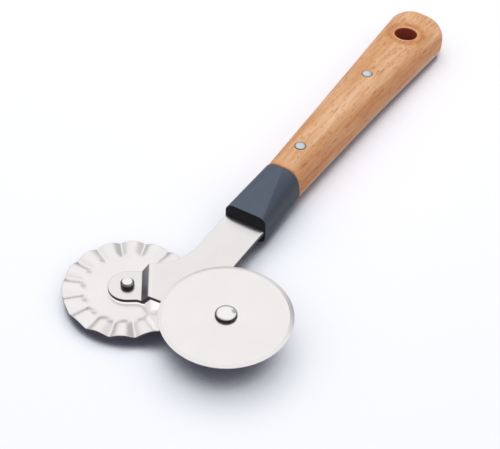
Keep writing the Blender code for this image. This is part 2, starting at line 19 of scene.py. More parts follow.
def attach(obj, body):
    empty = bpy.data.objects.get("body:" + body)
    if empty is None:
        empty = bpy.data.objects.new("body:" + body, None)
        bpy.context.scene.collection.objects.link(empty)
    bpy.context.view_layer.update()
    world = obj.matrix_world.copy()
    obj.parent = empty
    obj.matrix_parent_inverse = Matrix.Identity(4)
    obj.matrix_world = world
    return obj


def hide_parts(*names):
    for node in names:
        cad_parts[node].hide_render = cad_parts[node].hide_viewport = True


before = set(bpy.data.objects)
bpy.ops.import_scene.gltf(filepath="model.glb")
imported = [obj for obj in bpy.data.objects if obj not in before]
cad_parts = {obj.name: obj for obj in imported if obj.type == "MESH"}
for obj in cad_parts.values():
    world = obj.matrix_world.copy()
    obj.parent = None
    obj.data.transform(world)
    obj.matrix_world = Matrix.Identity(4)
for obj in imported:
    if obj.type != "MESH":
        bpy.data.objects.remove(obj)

MERGE_DISTANCE = 2e-6
SHARP_EDGE = math.radians(34.0)
QUARTER = math.pi / 2
TINY = 1e-9
NOTES = logging.getLogger("pastry_wheel")

Colour = tuple[float, float, float]
Point = tuple[float, float, float]
Pair = tuple[float, float]
Socket = bpy.types.NodeSocket
Outputs = bpy.types.bpy_prop_collection
# A low and a high value, and the results there where they aren't 0 and 1
Span = tuple[float, ...]


# Meshes


@dataclass
class Skin:
    """Grids of points that are gathered before they become one mesh."""

    points: list[np.ndarray] = field(default_factory=list)
    quads: list[np.ndarray] = field(default_factory=list)
    count: int = 0

    def add_grid(self, grid: np.ndarray, around: bool = False,
                 keep: np.ndarray | None = None) -> None:
        """Add a grid and the quads between its neighbouring points.

        The quad at row i and column j joins the points (i, j), (i, j + 1),
        (i + 1, j + 1) and (i + 1, j).

        Args:
            grid: points as rows, columns and coordinates.
            around: whether the last column joins the first one.
            keep: which quads stay, as rows and columns of truth values.
        """
        rows, columns = grid.shape[:2]
        spans = columns if around else columns - 1
        row, column = np.meshgrid(np.arange(rows - 1), np.arange(spans), indexing="ij")
        after = (column + 1) % columns
        quads = np.stack([row * columns + column, row * columns + after,
                          (row + 1) * columns + after, (row + 1) * columns + column], axis=-1)
        if keep is not None:
            quads = quads[keep]
        self.quads.append(quads.reshape(-1, 4) + self.count)
        self.points.append(grid.reshape(-1, 3))
        self.count += rows * columns

    def make(self, name: str, material: bpy.types.Material) -> bpy.types.Object:
        """Turn the gathered grids into one closed, smooth object.

        Args:
            name: the object's name.
            material: its only material.

        Returns:
            The new object, at the origin, with its place in its mesh.
        """
        points = np.concatenate(self.points)
        quads = np.concatenate(self.quads)
        mesh = bpy.data.meshes.new(name)
        mesh.vertices.add(len(points))
        mesh.vertices.foreach_set("co", points.astype(np.float32).ravel())
        mesh.loops.add(quads.size)
        mesh.loops.foreach_set("vertex_index", quads.astype(np.int32).ravel())
        mesh.polygons.add(len(quads))
        mesh.polygons.foreach_set("loop_start", np.arange(0, quads.size, 4, dtype=np.int32))
        mesh.update(calc_edges=True)
        work = bmesh.new()
        work.from_mesh(mesh)
        bmesh.ops.remove_doubles(work, verts=work.verts, dist=MERGE_DISTANCE)
        bmesh.ops.recalc_face_normals(work, faces=work.faces)
        work.to_mesh(mesh)
        work.free()
        mesh.shade_smooth()
        mesh.set_sharp_from_angle(angle=SHARP_EDGE)
        mesh.materials.append(material)
        item = bpy.data.objects.new(name, mesh)
        bpy.context.collection.objects.link(item)
        return item


def round_skin(*grids: np.ndarray) -> Skin:
    """Return a skin of grids whose last column joins their first one."""
    skin = Skin()
    for grid in grids:
        skin.add_grid(grid, around=True)
    return skin


def smooth_step(value: np.ndarray) -> np.ndarray:
    """Return shares that leave 0 and reach 1 gently: 3 squares less 2 cubes."""
    value = np.clip(value, 0.0, 1.0)
    return value * value * (3 - 2 * value)


def onward(first: float, last: float, count: int) -> np.ndarray:
    """Return evenly spaced values without the first one, which is counted."""
    return np.linspace(first, last, count)[1:]


def circle(angle: np.ndarray) -> np.ndarray:
    """Return the points of a circle of radius 1 at some angles."""
    return np.stack([np.cos(angle), np.sin(angle)], axis=-1)


def oval(angle: np.ndarray, power: np.ndarray) -> np.ndarray:
    """Return a unit superellipse's radius: one over the power mean of cosine and sine."""
    return (np.abs(np.cos(angle)) ** power + np.abs(np.sin(angle)) ** power) ** (-1 / power)


def fall(share: np.ndarray, power: np.ndarray) -> np.ndarray:
    """Return the height of a quarter superellipse, which falls from 1 to 0 over its share."""
    return (1 - share ** power) ** (1 / power)


def soft_least(value: np.ndarray, limit: np.ndarray, power: float) -> np.ndarray:
    """Return the lesser of a value and its limit, with a rounded crossing.

    It is the value over the power mean of 1 and the value's share of the limit.

    Args:
        value: positive numbers.
        limit: what they are held under.
        power: how tight the crossing is.

    Returns:
        The held numbers.
    """
    return value / (1 + (value / limit) ** power) ** (1 / power)


def rounded(corners: list[Point], steps: int = 5) -> np.ndarray:
    """Return a flat profile with its corners rounded by arcs.

    Each corner is left and reached one tangent length away, and the arc's points
    lie at even shares of the turn.

    Args:
        corners: (radius, height, corner radius) of each corner in order.
        steps: the number of spans in an arc.

    Returns:
        Points as rows of (radius, height).
    """
    knots = np.array([corner[:2] for corner in corners])
    pieces = []
    for index, (_, _, bend) in enumerate(corners):
        here = knots[index]
        if bend == 0.0 or index in (0, len(corners) - 1):
            pieces.append(here[None, :])
            continue
        before = (knots[index - 1] - here) / np.linalg.norm(knots[index - 1] - here)
        after = (knots[index + 1] - here) / np.linalg.norm(knots[index + 1] - here)
        half = math.acos(float(np.clip(before @ after, -1.0, 1.0))) / 2
        middle = (before + after) / np.linalg.norm(before + after)
        centre = here + middle * bend / math.sin(half)
        start = here + before * bend / math.tan(half) - centre
        side = here + after * bend / math.tan(half) - centre
        turn = math.pi - 2 * half
        shares = np.linspace(0.0, 1.0, steps + 1)[:, None]
        pieces.append(centre + (np.sin((1 - shares) * turn) * start
                                + np.sin(shares * turn) * side) / math.sin(turn))
    return np.concatenate(pieces)


def domed(body: np.ndarray, height: float, points: int) -> np.ndarray:
    """Close a profile over its last point with a quarter of an ellipse.

    Args:
        body: the profile so far, as rows of (radius, height).
        height: the dome's own height.
        points: the number of points on the dome.

    Returns:
        The profile up to its axis.
    """
    wide, base = body[-1]
    dome = (0.0, base) + (wide, height) * circle(np.linspace(0.0, QUARTER, points))
    return np.concatenate([body, dome[1:-1], [[0.0, base + height]]])


def turned(profile: np.ndarray, centre: Point, segments: int) -> np.ndarray:
    """Turn a profile about an upright axis.

    The point at profile row i and angle a is the centre plus (radius cos a,
    radius sin a, height).

    Args:
        profile: rows of (radius, height).
        centre: where the axis crosses height 0.
        segments: the number of points around.

    Returns:
        A grid of points, profile by angle.
    """
    angles = np.arange(segments) * 2 * math.pi / segments
    radius, height = profile[:, :1], profile[:, 1:]
    grid = np.stack([radius * np.cos(angles), radius * np.sin(angles),
                     height + 0 * angles], axis=-1)
    return grid + np.array(centre)


def place(item: bpy.types.Object, body: str, node: str, slot: str) -> None:
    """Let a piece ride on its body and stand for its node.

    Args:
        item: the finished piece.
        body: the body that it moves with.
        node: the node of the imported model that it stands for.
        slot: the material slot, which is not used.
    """
    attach(item, body)
    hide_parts(node)
    NOTES.info("%s: %d faces on %s", item.name, len(item.data.polygons), body)


def stand(item: bpy.types.Object, axes: tuple[np.ndarray, ...], spot: np.ndarray) -> None:
    """Link an object of the studio and stand it at a spot, with its axes along three others."""
    rows = np.eye(4)
    rows[:3] = np.stack([*axes, spot], axis=1)
    item.matrix_world = Matrix(rows.tolist())
    bpy.context.collection.objects.link(item)


# Materials


class Graph:
    """A node tree with short ways to add, set and join its nodes."""

    def __init__(self, tree: bpy.types.NodeTree) -> None:
        """Keep the tree."""
        self.tree = tree

    def fill(self, made: bpy.types.Node, inputs: dict) -> bpy.types.Node:
        """Give a node's named or numbered inputs their sockets, numbers or colours."""
        for key, value in inputs.items():
            target = made.inputs[key]
            if isinstance(value, Socket):
                self.tree.links.new(value, target)
            else:
                target.default_value = (*value, 1.0) if target.type == "RGBA" else value
        return made

    def node(self, kind: str, inputs: dict | None = None, **settings: object) -> bpy.types.Node:
        """Add a node, set its properties and fill its inputs.

        Args:
            kind: the node's type name, without its leading words.
            inputs: a socket or a constant for each named or numbered input.
            settings: properties of the node.

        Returns:
            The new node.
        """
        made = self.tree.nodes.new("ShaderNode" + kind)
        for key, value in settings.items():
            setattr(made, key, value)
        return self.fill(made, inputs or {})

    def math(self, operation: str, *values: object, clamp: bool = False) -> Socket:
        """Return the result of a Math node on sockets or numbers."""
        inputs = dict(enumerate(values))
        return self.node("Math", inputs, operation=operation, use_clamp=clamp).outputs[0]

    def times(self, first: object, *others: object) -> Socket:
        """Return the product of sockets and numbers."""
        for other in others:
            first = self.math("MULTIPLY", first, other)
        return first

    def mix(self, share: object, low: object, high: object, blend: str = "MIX") -> Socket:
        """Return a colour mixed from two colours or colour sockets."""
        return self.node("Mix", {0: share, 6: low, 7: high}, data_type="RGBA",
                         blend_type=blend).outputs[2]

    def span(self, value: object, low: object, high: object, first: float = 0.0,
             last: float = 1.0) -> Socket:
        """Return a value carried smoothly from one range to another.

        Args:
            value: the socket to read.
            low: the value at which the result leaves its first number.
            high: the value at which it reaches its last number.
            first: the result at and beyond the low end.
            last: the result at and beyond the high end.

        Returns:
            The carried value.
        """
        return self.node("MapRange", {0: value, 1: low, 2: high, 3: first, 4: last},
                         interpolation_type="SMOOTHSTEP").outputs[0]

    def parts(self, vector: Socket) -> list[Socket]:
        """Return a vector's three parts."""
        return self.node("SeparateXYZ", {0: vector}).outputs[:3]

    def vector(self, *parts: object) -> Socket:
        """Return a vector made of its parts."""
        return self.node("CombineXYZ", dict(enumerate(parts))).outputs[0]

    def away(self, vector: Socket) -> Socket:
        """Return how far a point lies from the upright axis."""
        flat = self.node("VectorMath", {0: vector, 1: (1.0, 1.0, 0.0)}, operation="MULTIPLY")
        return self.node("VectorMath", {0: flat.outputs[0]}, operation="LENGTH").outputs["Value"]

    def group(self, tree: bpy.types.NodeTree, **inputs: object) -> Outputs:
        """Place a shared effect, fill its named inputs and return its outputs."""
        return self.node("Group", inputs, node_tree=tree).outputs


class Effects:
    """Shared effects of the finishes, each built once as a node group."""

    noise_roughness: float = 0.55
    streak_greys: Span = (0.28, 0.72)
    line_greys: Span = (0.3, 0.7)
    line_detail: float = 2.0
    dash_fade: Span = (0.0, 0.7)
    least_dash: float = 0.4

    def __init__(self) -> None:
        """Build every shared effect."""
        self.streaks = self._make("streaks", ("Across", "Along", "Detail"), self._streaks)
        self.dashes = self._make("dashes", ("Across", "Along", "Share", "Width"), self._dashes)
        self.ring = self._make("ring", ("Radius", "Width"), self._ring, ("Mask", "Distance"))
        self.turned_lines = self._make("turned_lines", ("Across", "Along"), self._turned_lines)
        self.walls = self._make("walls", ("Low", "High"), self._walls)

    @staticmethod
    def _make(name: str, numbers: tuple[str, ...], recipe: Callable[..., tuple[Socket, ...]],
              outputs: tuple[str, ...] = ("Mask",)) -> bpy.types.NodeTree:
        """Build a group with a vector input, number inputs and number outputs.

        Args:
            name: the group's name.
            numbers: names of its number inputs.
            recipe: a function of a graph and the inputs, which returns the outputs.
            outputs: names of its number outputs.

        Returns:
            The group.
        """
        tree = bpy.data.node_groups.new(name, "ShaderNodeTree")
        tree.interface.new_socket("Vector", in_out="INPUT", socket_type="NodeSocketVector")
        for side, labels in (("INPUT", numbers), ("OUTPUT", outputs)):
            for label in labels:
                tree.interface.new_socket(label, in_out=side, socket_type="NodeSocketFloat")
        source = tree.nodes.new("NodeGroupInput").outputs
        graph = Graph(tree)
        results = recipe(graph, *(source[label] for label in ("Vector", *numbers)))
        graph.fill(tree.nodes.new("NodeGroupOutput"), dict(zip(outputs, results)))
        return tree

    @staticmethod
    def _stretch(graph: Graph, spot: Socket, across: Socket, along: Socket) -> Socket:
        """Return coordinates with X and Z times one scale and Y times another."""
        x, y, z = graph.parts(spot)
        return graph.vector(graph.times(x, across), graph.times(y, along), graph.times(z, across))

    def _streaks(self, graph: Graph, spot: Socket, across: Socket, along: Socket,
                 detail: Socket) -> tuple[Socket, ...]:
        """Noise drawn out along Y, for fibres, brushing and slow changes of tone."""
        stretched = self._stretch(graph, spot, across, along)
        noise = graph.node("TexNoise", {"Vector": stretched, "Scale": 1.0, "Detail": detail,
                                        "Roughness": self.noise_roughness})
        return (graph.span(noise.outputs["Fac"], *self.streak_greys),)

    def _dashes(self, graph: Graph, spot: Socket, across: Socket, along: Socket, share: Socket,
                width: Socket) -> tuple[Socket, ...]:
        """Scattered short dashes along Y, in a share of the cells of a stretched net."""
        stretched = self._stretch(graph, spot, across, along)
        cells = graph.node("TexVoronoi", {"Vector": stretched, "Scale": 1.0}).outputs
        near = graph.math("SUBTRACT", 1.0, graph.math("DIVIDE", cells["Distance"], width),
                          clamp=True)
        pick = graph.node("SeparateColor", {0: cells["Color"]}).outputs
        chosen = graph.math("LESS_THAN", pick[0], share)
        depth = graph.math("MULTIPLY_ADD", pick[1], 1.0 - self.least_dash, self.least_dash)
        return (graph.times(graph.span(near, *self.dash_fade), chosen, depth),)

    def _ring(self, graph: Graph, spot: Socket, radius: Socket,
              width: Socket) -> tuple[Socket, ...]:
        """A soft ring about the upright axis through the origin of its coordinates."""
        away = graph.away(spot)
        off = graph.math("ABSOLUTE", graph.math("SUBTRACT", away, radius))
        return graph.span(graph.math("DIVIDE", off, width), 0.0, 1.0, 1.0, 0.0), away

    def _turned_lines(self, graph: Graph, spot: Socket, across: Socket,
                      along: Socket) -> tuple[Socket, ...]:
        """Fine circles about the upright axis, as polishing on a spindle leaves them."""
        x, y, _ = graph.parts(spot)
        where = graph.vector(graph.times(graph.away(spot), across), graph.times(x, along),
                             graph.times(y, along))
        noise = graph.node("TexNoise", {"Vector": where, "Scale": 1.0,
                                        "Detail": self.line_detail})
        return (graph.span(noise.outputs["Fac"], *self.line_greys),)

    def _walls(self, graph: Graph, normal: Socket, low: Socket,
               high: Socket) -> tuple[Socket, ...]:
        """The faces that stand upright, found from the height of the normal given."""
        rise = graph.math("ABSOLUTE", graph.parts(normal)[2])
        return (graph.span(rise, low, high, 1.0, 0.0),)


@dataclass(frozen=True)
class Layer:
    """Streaks in a material: scales across and along, detail, and what they change."""

    across: float
    along: float
    detail: float
    share: float = 0.0
    rough: float = 0.0


class Paint(Graph):
    """A material in the making, with its colour and its roughness so far."""

    def __init__(self, name: str, effects: Effects, colour: Colour, rough: float) -> None:
        """Start a material on object coordinates.

        Args:
            name: the material's name.
            effects: the shared effects.
            colour: its first colour.
            rough: its first roughness.
        """
        self.material = bpy.data.materials.new(name)
        self.material.use_nodes = True
        super().__init__(self.material.node_tree)
        self.effects = effects
        self.shader = self.tree.nodes["Principled BSDF"]
        coordinates = self.node("TexCoord").outputs
        self.spot, self.normal = coordinates["Object"], coordinates["Normal"]
        self.colour, self.rough = colour, rough

    def about(self, centre: Point) -> Socket:
        """Return coordinates whose origin is a centre of the piece."""
        shift = tuple(-value for value in centre)
        return self.node("Mapping", {"Vector": self.spot, "Location": shift}).outputs[0]

    def walls(self, low: float, high: float) -> Socket:
        """Return a mask of the faces whose normal rises little: all at low, none at high."""
        return self.group(self.effects.walls, Vector=self.normal, Low=low, High=high)["Mask"]

    def ring(self, spot: Socket, radius: float, width: float) -> Outputs:
        """Return the mask of a ring about a spot's upright axis, and the distance from it."""
        return self.group(self.effects.ring, Vector=spot, Radius=radius, Width=width)

    def lay(self, mask: Socket, colour: Colour, share: float = 1.0, rough: float = 0.0,
            blend: str = "MIX") -> Socket:
        """Lay a colour over the one so far, and add some roughness.

        Args:
            mask: where the colour goes.
            colour: what is laid.
            share: how much of it shows where the mask is full.
            rough: how much rougher the surface gets there.
            blend: how the two colours are mixed.

        Returns:
            The mask.
        """
        if share:
            self.colour = self.mix(self.times(mask, share), self.colour, colour, blend)
        if rough:
            self.rough = self.math("MULTIPLY_ADD", mask, rough, self.rough)
        return mask

    def streaks(self, layer: Layer, colour: Colour = (0.0, 0.0, 0.0)) -> Socket:
        """Lay a layer of streaks in a colour, and return its mask."""
        mask = self.group(self.effects.streaks, Vector=self.spot, Across=layer.across,
                          Along=layer.along, Detail=layer.detail)["Mask"]
        return self.lay(mask, colour, layer.share, layer.rough)

    def show_to_gloss(self, mask: Socket, colour: Colour) -> None:
        """Let other glossy surfaces see a plain colour here, by emission."""
        seen = self.times(mask, self.node("LightPath").outputs["Is Glossy Ray"])
        glow = self.mix(seen, (0.0, 0.0, 0.0), colour)
        self.fill(self.shader, {"Emission Color": glow, "Emission Strength": 1.0})

    def finish(self, height: Socket, relief: Pair,
               constants: dict[str, float]) -> bpy.types.Material:
        """Feed the colour, the roughness and a bump into the shader.

        Args:
            height: the bump's height as a mask.
            relief: the bump's strength and depth.
            constants: what other inputs of the shader are set to.

        Returns:
            The material.
        """
        strength, depth = relief
        bump = self.node("Bump", {"Strength": strength, "Distance": depth, "Height": height})
        self.fill(self.shader, {"Base Color": self.colour, "Roughness": self.rough,
                                "Normal": bump.outputs["Normal"], **constants})
        return self.material


class Brushing(Enum):
    """How a steel piece was polished."""

    STRAIGHT = "along the tool"
    TURNED = "about its axle"


@dataclass(frozen=True)
class SteelFinish:
    """Bright satin steel with fine polishing lines."""

    name: str
    colour: Colour
    shade: Colour
    roughness: float
    centre: Point = (0.0, 0.0, 0.0)
    brushing: Brushing = Brushing.TURNED
    ring_radius: float = 0.0
    ring_width: float = 0.0
    ring_share: float = 0.40
    ring_rough: float = 0.08
    # Painted shade: tilted faces, such as the plate's joggle ramps, are darkened towards the wall
    # colour, as dim surroundings would leave them; they also get rougher.
    wall_slope: Pair = (0.22, 0.60)
    wall_share: float = 0.85
    wall_rough: float = 0.22
    wall: Colour = (0.20, 0.20, 0.235)
    # Painted shade: steep upright faces are darkened almost to black, as shadow and dark
    # reflections would leave them.
    upright_shade_slope: Pair = (0.12, 0.40)
    upright_shade_share: float = 0.80
    upright_shade: Colour = (0.025, 0.024, 0.030)
    # Painted glow: where set, faces that look sideways or down show this colour to glossy rays, so
    # other steel mirrors them pale.
    mirrored: Colour | None = None
    mirrored_rise: Span = (0.3, 0.6, 1.0, 0.0)
    tone: Layer = Layer(90.0, 55.0, 3.0, 0.25, 0.03)
    lines: Layer = Layer(5200.0, 130.0, 2.0, 0.04, 0.02)
    turned_along: float = 90.0
    relief: Pair = (0.02, 4e-7)

    def material(self, effects: Effects) -> bpy.types.Material:
        """Build the material: tone, lines, a darker ring where one is asked for, painted shade on
        tilted and upright faces, and a painted glow for glossy rays where one is asked for.

        Args:
            effects: the shared effects.

        Returns:
            The material.
        """
        paint = Paint(self.name, effects, self.colour, self.roughness)
        paint.spot = paint.about(self.centre)
        paint.streaks(self.tone, self.shade)
        if self.brushing is Brushing.STRAIGHT:
            lines = paint.streaks(self.lines, self.shade)
        else:
            lines = paint.group(effects.turned_lines, Vector=paint.spot,
                                Across=self.lines.across, Along=self.turned_along)["Mask"]
            paint.lay(lines, self.shade, self.lines.share, self.lines.rough)
        # The ring: the ground bevel's own tone on the plain wheel, and painted shade at the rim of
        # the fluted wheel and of the pins.
        if self.ring_radius:
            ring = paint.ring(paint.spot, self.ring_radius, self.ring_width)["Mask"]
            paint.lay(ring, self.shade, self.ring_share, self.ring_rough)
        # Painted shade on tilted faces, which also get rougher, and on upright faces.
        walls = paint.times(paint.walls(*self.wall_slope), self.wall_share)
        paint.lay(walls, self.wall, rough=self.wall_rough)
        paint.lay(paint.walls(*self.upright_shade_slope), self.upright_shade, self.upright_shade_share)
        # Painted glow, seen only by glossy rays, on faces that look sideways or down.
        if self.mirrored:
            rise = paint.parts(paint.normal)[2]
            paint.show_to_gloss(paint.span(rise, *self.mirrored_rise), self.mirrored)
        return paint.finish(lines, self.relief, {"Metallic": 1.0})


@dataclass(frozen=True)
class PlasticFinish:
    """Matt moulded plastic with a very fine skin, and painted shade on its sides, on a facet and on
    its front face.

    The facet of painted shade lies on the +X side, beside a flat top whose half width goes from its
    front to its rear value.
    """

    front_y: float
    rear_y: float
    plate_top: float
    flat_front: float
    flat_rear: float
    name: str = "slate_plastic"
    colour: Colour = (0.101, 0.121, 0.166)
    shade: Colour = (0.080, 0.098, 0.138)
    # Painted shade: the colour that the sides and the facet are darkened towards.
    side: Colour = (0.044, 0.056, 0.080)
    # Painted shade: the near black of the front face, which stands in shade.
    front: Colour = (0.009, 0.008, 0.013)
    # Painted glow: the pale colour that glossy rays see on the front face above its foot.
    room: Colour = (0.90, 0.90, 0.91)
    roughness: float = 0.41
    gloss: float = 0.16
    tone: Layer = Layer(160.0, 110.0, 2.0, 0.35)
    skin: Layer = Layer(5000.0, 5000.0, 1.0, 0.12, 0.10)
    relief: Pair = (0.35, 1.2e-5)
    side_slope: Pair = (0.20, 0.90)
    side_share: float = 0.60
    facet_edge: Span = (-0.0002, 0.0003)
    facet_side: Span = (-0.001, 0.001, 0.35, 1.0)
    facet_fade: Pair = (-0.010, 0.004)
    facet_shares: Pair = (0.58, 0.25)
    front_depth: Pair = (0.0001, 0.0005)
    foot_half: Pair = (0.0083, 0.0022)
    foot_power: float = 4.0
    foot_edge: Span = (0.8, 1.3)

    def material(self, effects: Effects) -> bpy.types.Material:
        """Build the material: a slow change of tone, a fine skin, and painted shade on the sides,
        on a facet of the +X side and on the front face.

        The satin plate shows only the foot of that face, so to gloss the rest glows pale, a painted
        reflection.

        Args:
            effects: the shared effects.

        Returns:
            The material.
        """
        paint = Paint(self.name, effects, self.colour, self.roughness)
        paint.streaks(self.tone, self.shade)
        skin = paint.streaks(self.skin, self.shade)
        # Painted shade on the sides, which stand upright.
        paint.lay(paint.walls(*self.side_slope), self.side, self.side_share)
        across, length, height = paint.parts(paint.spot)
        aside = paint.math("ABSOLUTE", across)
        # Painted shade on a facet of the +X side, beside the flat top, as the light leaves that
        # side darker; it fades towards the rear.
        flat_half = paint.node("MapRange", {0: length, 1: self.front_y, 2: self.rear_y,
                                            3: self.flat_front, 4: self.flat_rear}).outputs[0]
        beside = paint.math("SUBTRACT", aside, flat_half)
        start, end = (self.rear_y + place for place in self.facet_fade)
        fading = paint.span(length, start, end, *self.facet_shares)
        facet = paint.times(paint.span(beside, *self.facet_edge), fading,
                            paint.span(across, *self.facet_side))
        paint.lay(facet, self.side)
        # Painted shade: the front face turns near black.
        start, end = (self.front_y + place for place in self.front_depth)
        front = paint.lay(paint.span(length, start, end, 1.0, 0.0), self.front)
        # Painted glow for glossy rays on the front face, away from its foot on the plate.
        wide, high = self.foot_half
        aside = paint.math("POWER", paint.math("DIVIDE", aside, wide), self.foot_power)
        rise = paint.math("DIVIDE", paint.math("SUBTRACT", height, self.plate_top), high)
        beyond = paint.span(paint.math("MULTIPLY_ADD", rise, rise, aside), *self.foot_edge)
        paint.show_to_gloss(paint.times(beyond, front), self.room)
        return paint.finish(skin, self.relief, {"Specular IOR Level": self.gloss})


@dataclass(frozen=True)
class BeechFinish:
    """Oiled beech: pale, with orange zones, brown dashes and a scorched front, with painted shade
    in the hole, round the pins, on the sides and along the bottom, and a painted highlight low on
    the sides.

    A dash layer has its scales across and along, its share of the cells and its
    depth. A ring has its radius and its width, as shares of the radius that it goes
    round, and then how strongly it shows unless it is the mottled halo.
    """

    hole: Point
    hole_radius: float
    pins: tuple[Point, ...]
    pin_radius: float
    front_y: float
    name: str = "beech"
    pale: Colour = (0.985, 0.690, 0.460)
    orange: Colour = (0.660, 0.290, 0.095)
    pink: Colour = (0.760, 0.440, 0.265)
    dash: Colour = (0.340, 0.090, 0.020)
    halo: Colour = (0.560, 0.220, 0.075)
    # A dark stain in the hole, deepened with painted shade there, and painted shade along the
    # bottom.
    stain_and_shade: Colour = (0.340, 0.065, 0.035)
    rim: Colour = (0.900, 0.640, 0.420)
    # Painted highlight: a paler band low on the sides, where light comes back from the table.
    lower_highlight: Colour = (0.980, 0.760, 0.600)
    scorched: Colour = (0.55, 0.17, 0.045)
    # Painted shade: upright sides are multiplied towards a darker, redder tone, as they get less
    # light.
    side_shade: Colour = (1.0, 0.80, 0.67)
    drift: Layer = Layer(70.0, 30.0, 2.0, 0.35)
    zones: Layer = Layer(125.0, 16.0, 3.0, 0.66)
    growth: Layer = Layer(560.0, 26.0, 4.0, 0.48)
    fibres: Layer = Layer(1900.0, 75.0, 3.0, 0.27)
    mottle: Layer = Layer(620.0, 330.0, 3.0)
    mottle_shares: Pair = (0.35, 0.85)
    pores: Layer = Layer(3600.0, 210.0, 2.0, 0.0, 0.14)
    relief: Pair = (0.45, 3e-5)
    dashes: tuple = ((950.0, 150.0, 0.30, 0.66), (1500.0, 300.0, 0.40, 0.64),
                     (2300.0, 480.0, 0.42, 0.36))
    dash_width: float = 0.42
    side_slope: Pair = (0.30, 0.92)
    halo_ring: Pair = (1.55, 0.55)
    rim_ring: tuple[float, float, float] = (1.14, 0.10, 0.12)
    # Painted shade in the gap round each pin: radius and width as shares of the pin's radius, and
    # how strongly it shows.
    pin_gap_shade: tuple[float, float, float] = (1.06, 0.16, 0.70)
    bore_shade_reach: Pair = (1.02, 1.09)
    lower_highlight_start: Span = (0.0012, 0.0032)
    lower_highlight_end: Span = (0.0032, 0.0070, 0.60, 0.0)
    # Painted shade: the heights over which the bottom darkens.
    foot: Span = (0.0008, 0.0024, 0.80, 0.0)
    front_depth: Pair = (0.0002, 0.0013)
    front_share: float = 0.75
    roughness: float = 0.42
    gloss: float = 0.14

    def _grain(self, paint: Paint) -> None:
        """Lay the plain wood: slow zones, growth lines, fibres and dashes."""
        for layer, colour in ((self.drift, self.pink), (self.zones, self.orange),
                              (self.growth, self.orange), (self.fibres, self.dash)):
            paint.streaks(layer, colour)
        for across, along, share, depth in self.dashes:
            dashes = paint.group(paint.effects.dashes, Vector=paint.spot, Across=across,
                                 Along=along, Share=share, Width=self.dash_width)
            paint.lay(dashes["Mask"], self.dash, depth)

    def material(self, effects: Effects) -> bpy.types.Material:
        """Build the material: grain, painted shade on the sides, the hole's rings, painted shade in
        the hole and round the pins, a painted highlight low on the sides, painted shade along the
        bottom and the scorched front.

        Args:
            effects: the shared effects.

        Returns:
            The material.
        """
        paint = Paint(self.name, effects, self.pale, self.roughness)
        self._grain(paint)
        # Painted shade on the upright sides.
        paint.lay(paint.walls(*self.side_slope), self.side_shade, blend="MULTIPLY")
        about_hole = paint.about(self.hole)
        radius, width = (self.hole_radius * share for share in self.halo_ring)
        halo = paint.ring(about_hole, radius, width)
        least, swing = self.mottle_shares
        mottle = paint.math("MULTIPLY_ADD", paint.streaks(self.mottle), swing, least)
        paint.lay(paint.math("MULTIPLY", halo["Mask"], mottle, clamp=True), self.halo)
        radius, width, share = self.rim_ring
        rim = paint.ring(about_hole, self.hole_radius * radius, self.hole_radius * width)
        paint.lay(rim["Mask"], self.rim, share)
        # Painted shade, with some stain, inside the hole.
        low, high = (self.hole_radius * share for share in self.bore_shade_reach)
        paint.lay(paint.span(halo["Distance"], low, high, 1.0, 0.0), self.stain_and_shade)
        # Painted shade round each pin.
        radius, width, share = self.pin_gap_shade
        for centre in self.pins:
            rim = paint.ring(paint.about(centre), self.pin_radius * radius,
                             self.pin_radius * width)
            paint.lay(rim["Mask"], self.dash, share)
        _, length, height = paint.parts(paint.spot)
        # Painted highlight in a band low on the sides.
        lower_highlight = paint.times(paint.span(height, *self.lower_highlight_start),
                           paint.span(height, *self.lower_highlight_end))
        paint.lay(lower_highlight, self.lower_highlight)
        # Painted shade along the bottom, where the handle meets the table.
        paint.lay(paint.span(height, *self.foot), self.stain_and_shade)
        start, end = (self.front_y + place for place in self.front_depth)
        paint.lay(paint.span(length, start, end, 1.0, 0.0), self.scorched, self.front_share)
        return paint.finish(paint.streaks(self.pores), self.relief,
                            {"Specular IOR Level": self.gloss})


Finish = SteelFinish | PlasticFinish | BeechFinish


# Pieces


@dataclass
class Layout:
    """Places that the pieces share, from the front of the wheels to the butt."""

    axle_y: float = -0.08505
    axle_half_spread: float = 0.0199
    ferrule_front_y: float = -0.04025
    ferrule_rear_y: float = -0.01505
    handle_front_y: float = -0.01485
    front_pin_y: float = -0.00105
    rear_pin_y: float = 0.05265
    hole_y: float = 0.08765
    tang_end_y: float = 0.06065
    butt_tip_y: float = 0.107333
    plate_height: float = 0.0089
    plate_thickness: float = 0.0015
    plain_tab_rise: float = 0.0034
    fluted_tab_drop: float = 0.0036
    running_gap: float = 0.0003
    wheel_thickness: float = 0.0010
    joint_top: float = 0.0174
    joint_slope: float = 0.15

    def joint_slant(self, height: np.ndarray) -> np.ndarray:
        """Return how far the joint of wood and collar lies behind its own top."""
        return self.joint_slope * (self.joint_top - height)

    def joggle(self, side: int) -> float:
        """Return how far a side's tab lies off the plate, 1 for plain and -1 for fluted."""
        return self.plain_tab_rise if side > 0 else self.fluted_tab_drop

    def axle(self, side: int) -> Point:
        """Return the middle of the tab on a side."""
        return (side * self.axle_half_spread, self.axle_y,
                self.plate_height + side * self.joggle(side))

    def wheel_centre(self, side: int) -> Point:
        """Return the middle of the wheel that turns outside a side's tab."""
        lift = self.plate_thickness / 2 + self.running_gap + self.wheel_thickness / 2
        x, y, z = self.axle(side)
        return x, y, z + side * lift


@dataclass
class Piece:
    """A piece of the tool, with its object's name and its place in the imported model."""

    layout: Layout
    name: str
    body: str
    node: str
    slot: str

    def skin(self) -> Skin:
        """Return the piece's surface."""
        raise NotImplementedError

    def finish(self) -> Finish:
        """Return the piece's finish."""
        raise NotImplementedError

    def build(self, effects: Effects) -> None:
        """Shape the piece, dress it and give it its body and node.

        Args:
            effects: the shared effects of the finishes.
        """
        item = self.skin().make(self.name, self.finish().material(effects))
        place(item, self.body, self.node, self.slot)


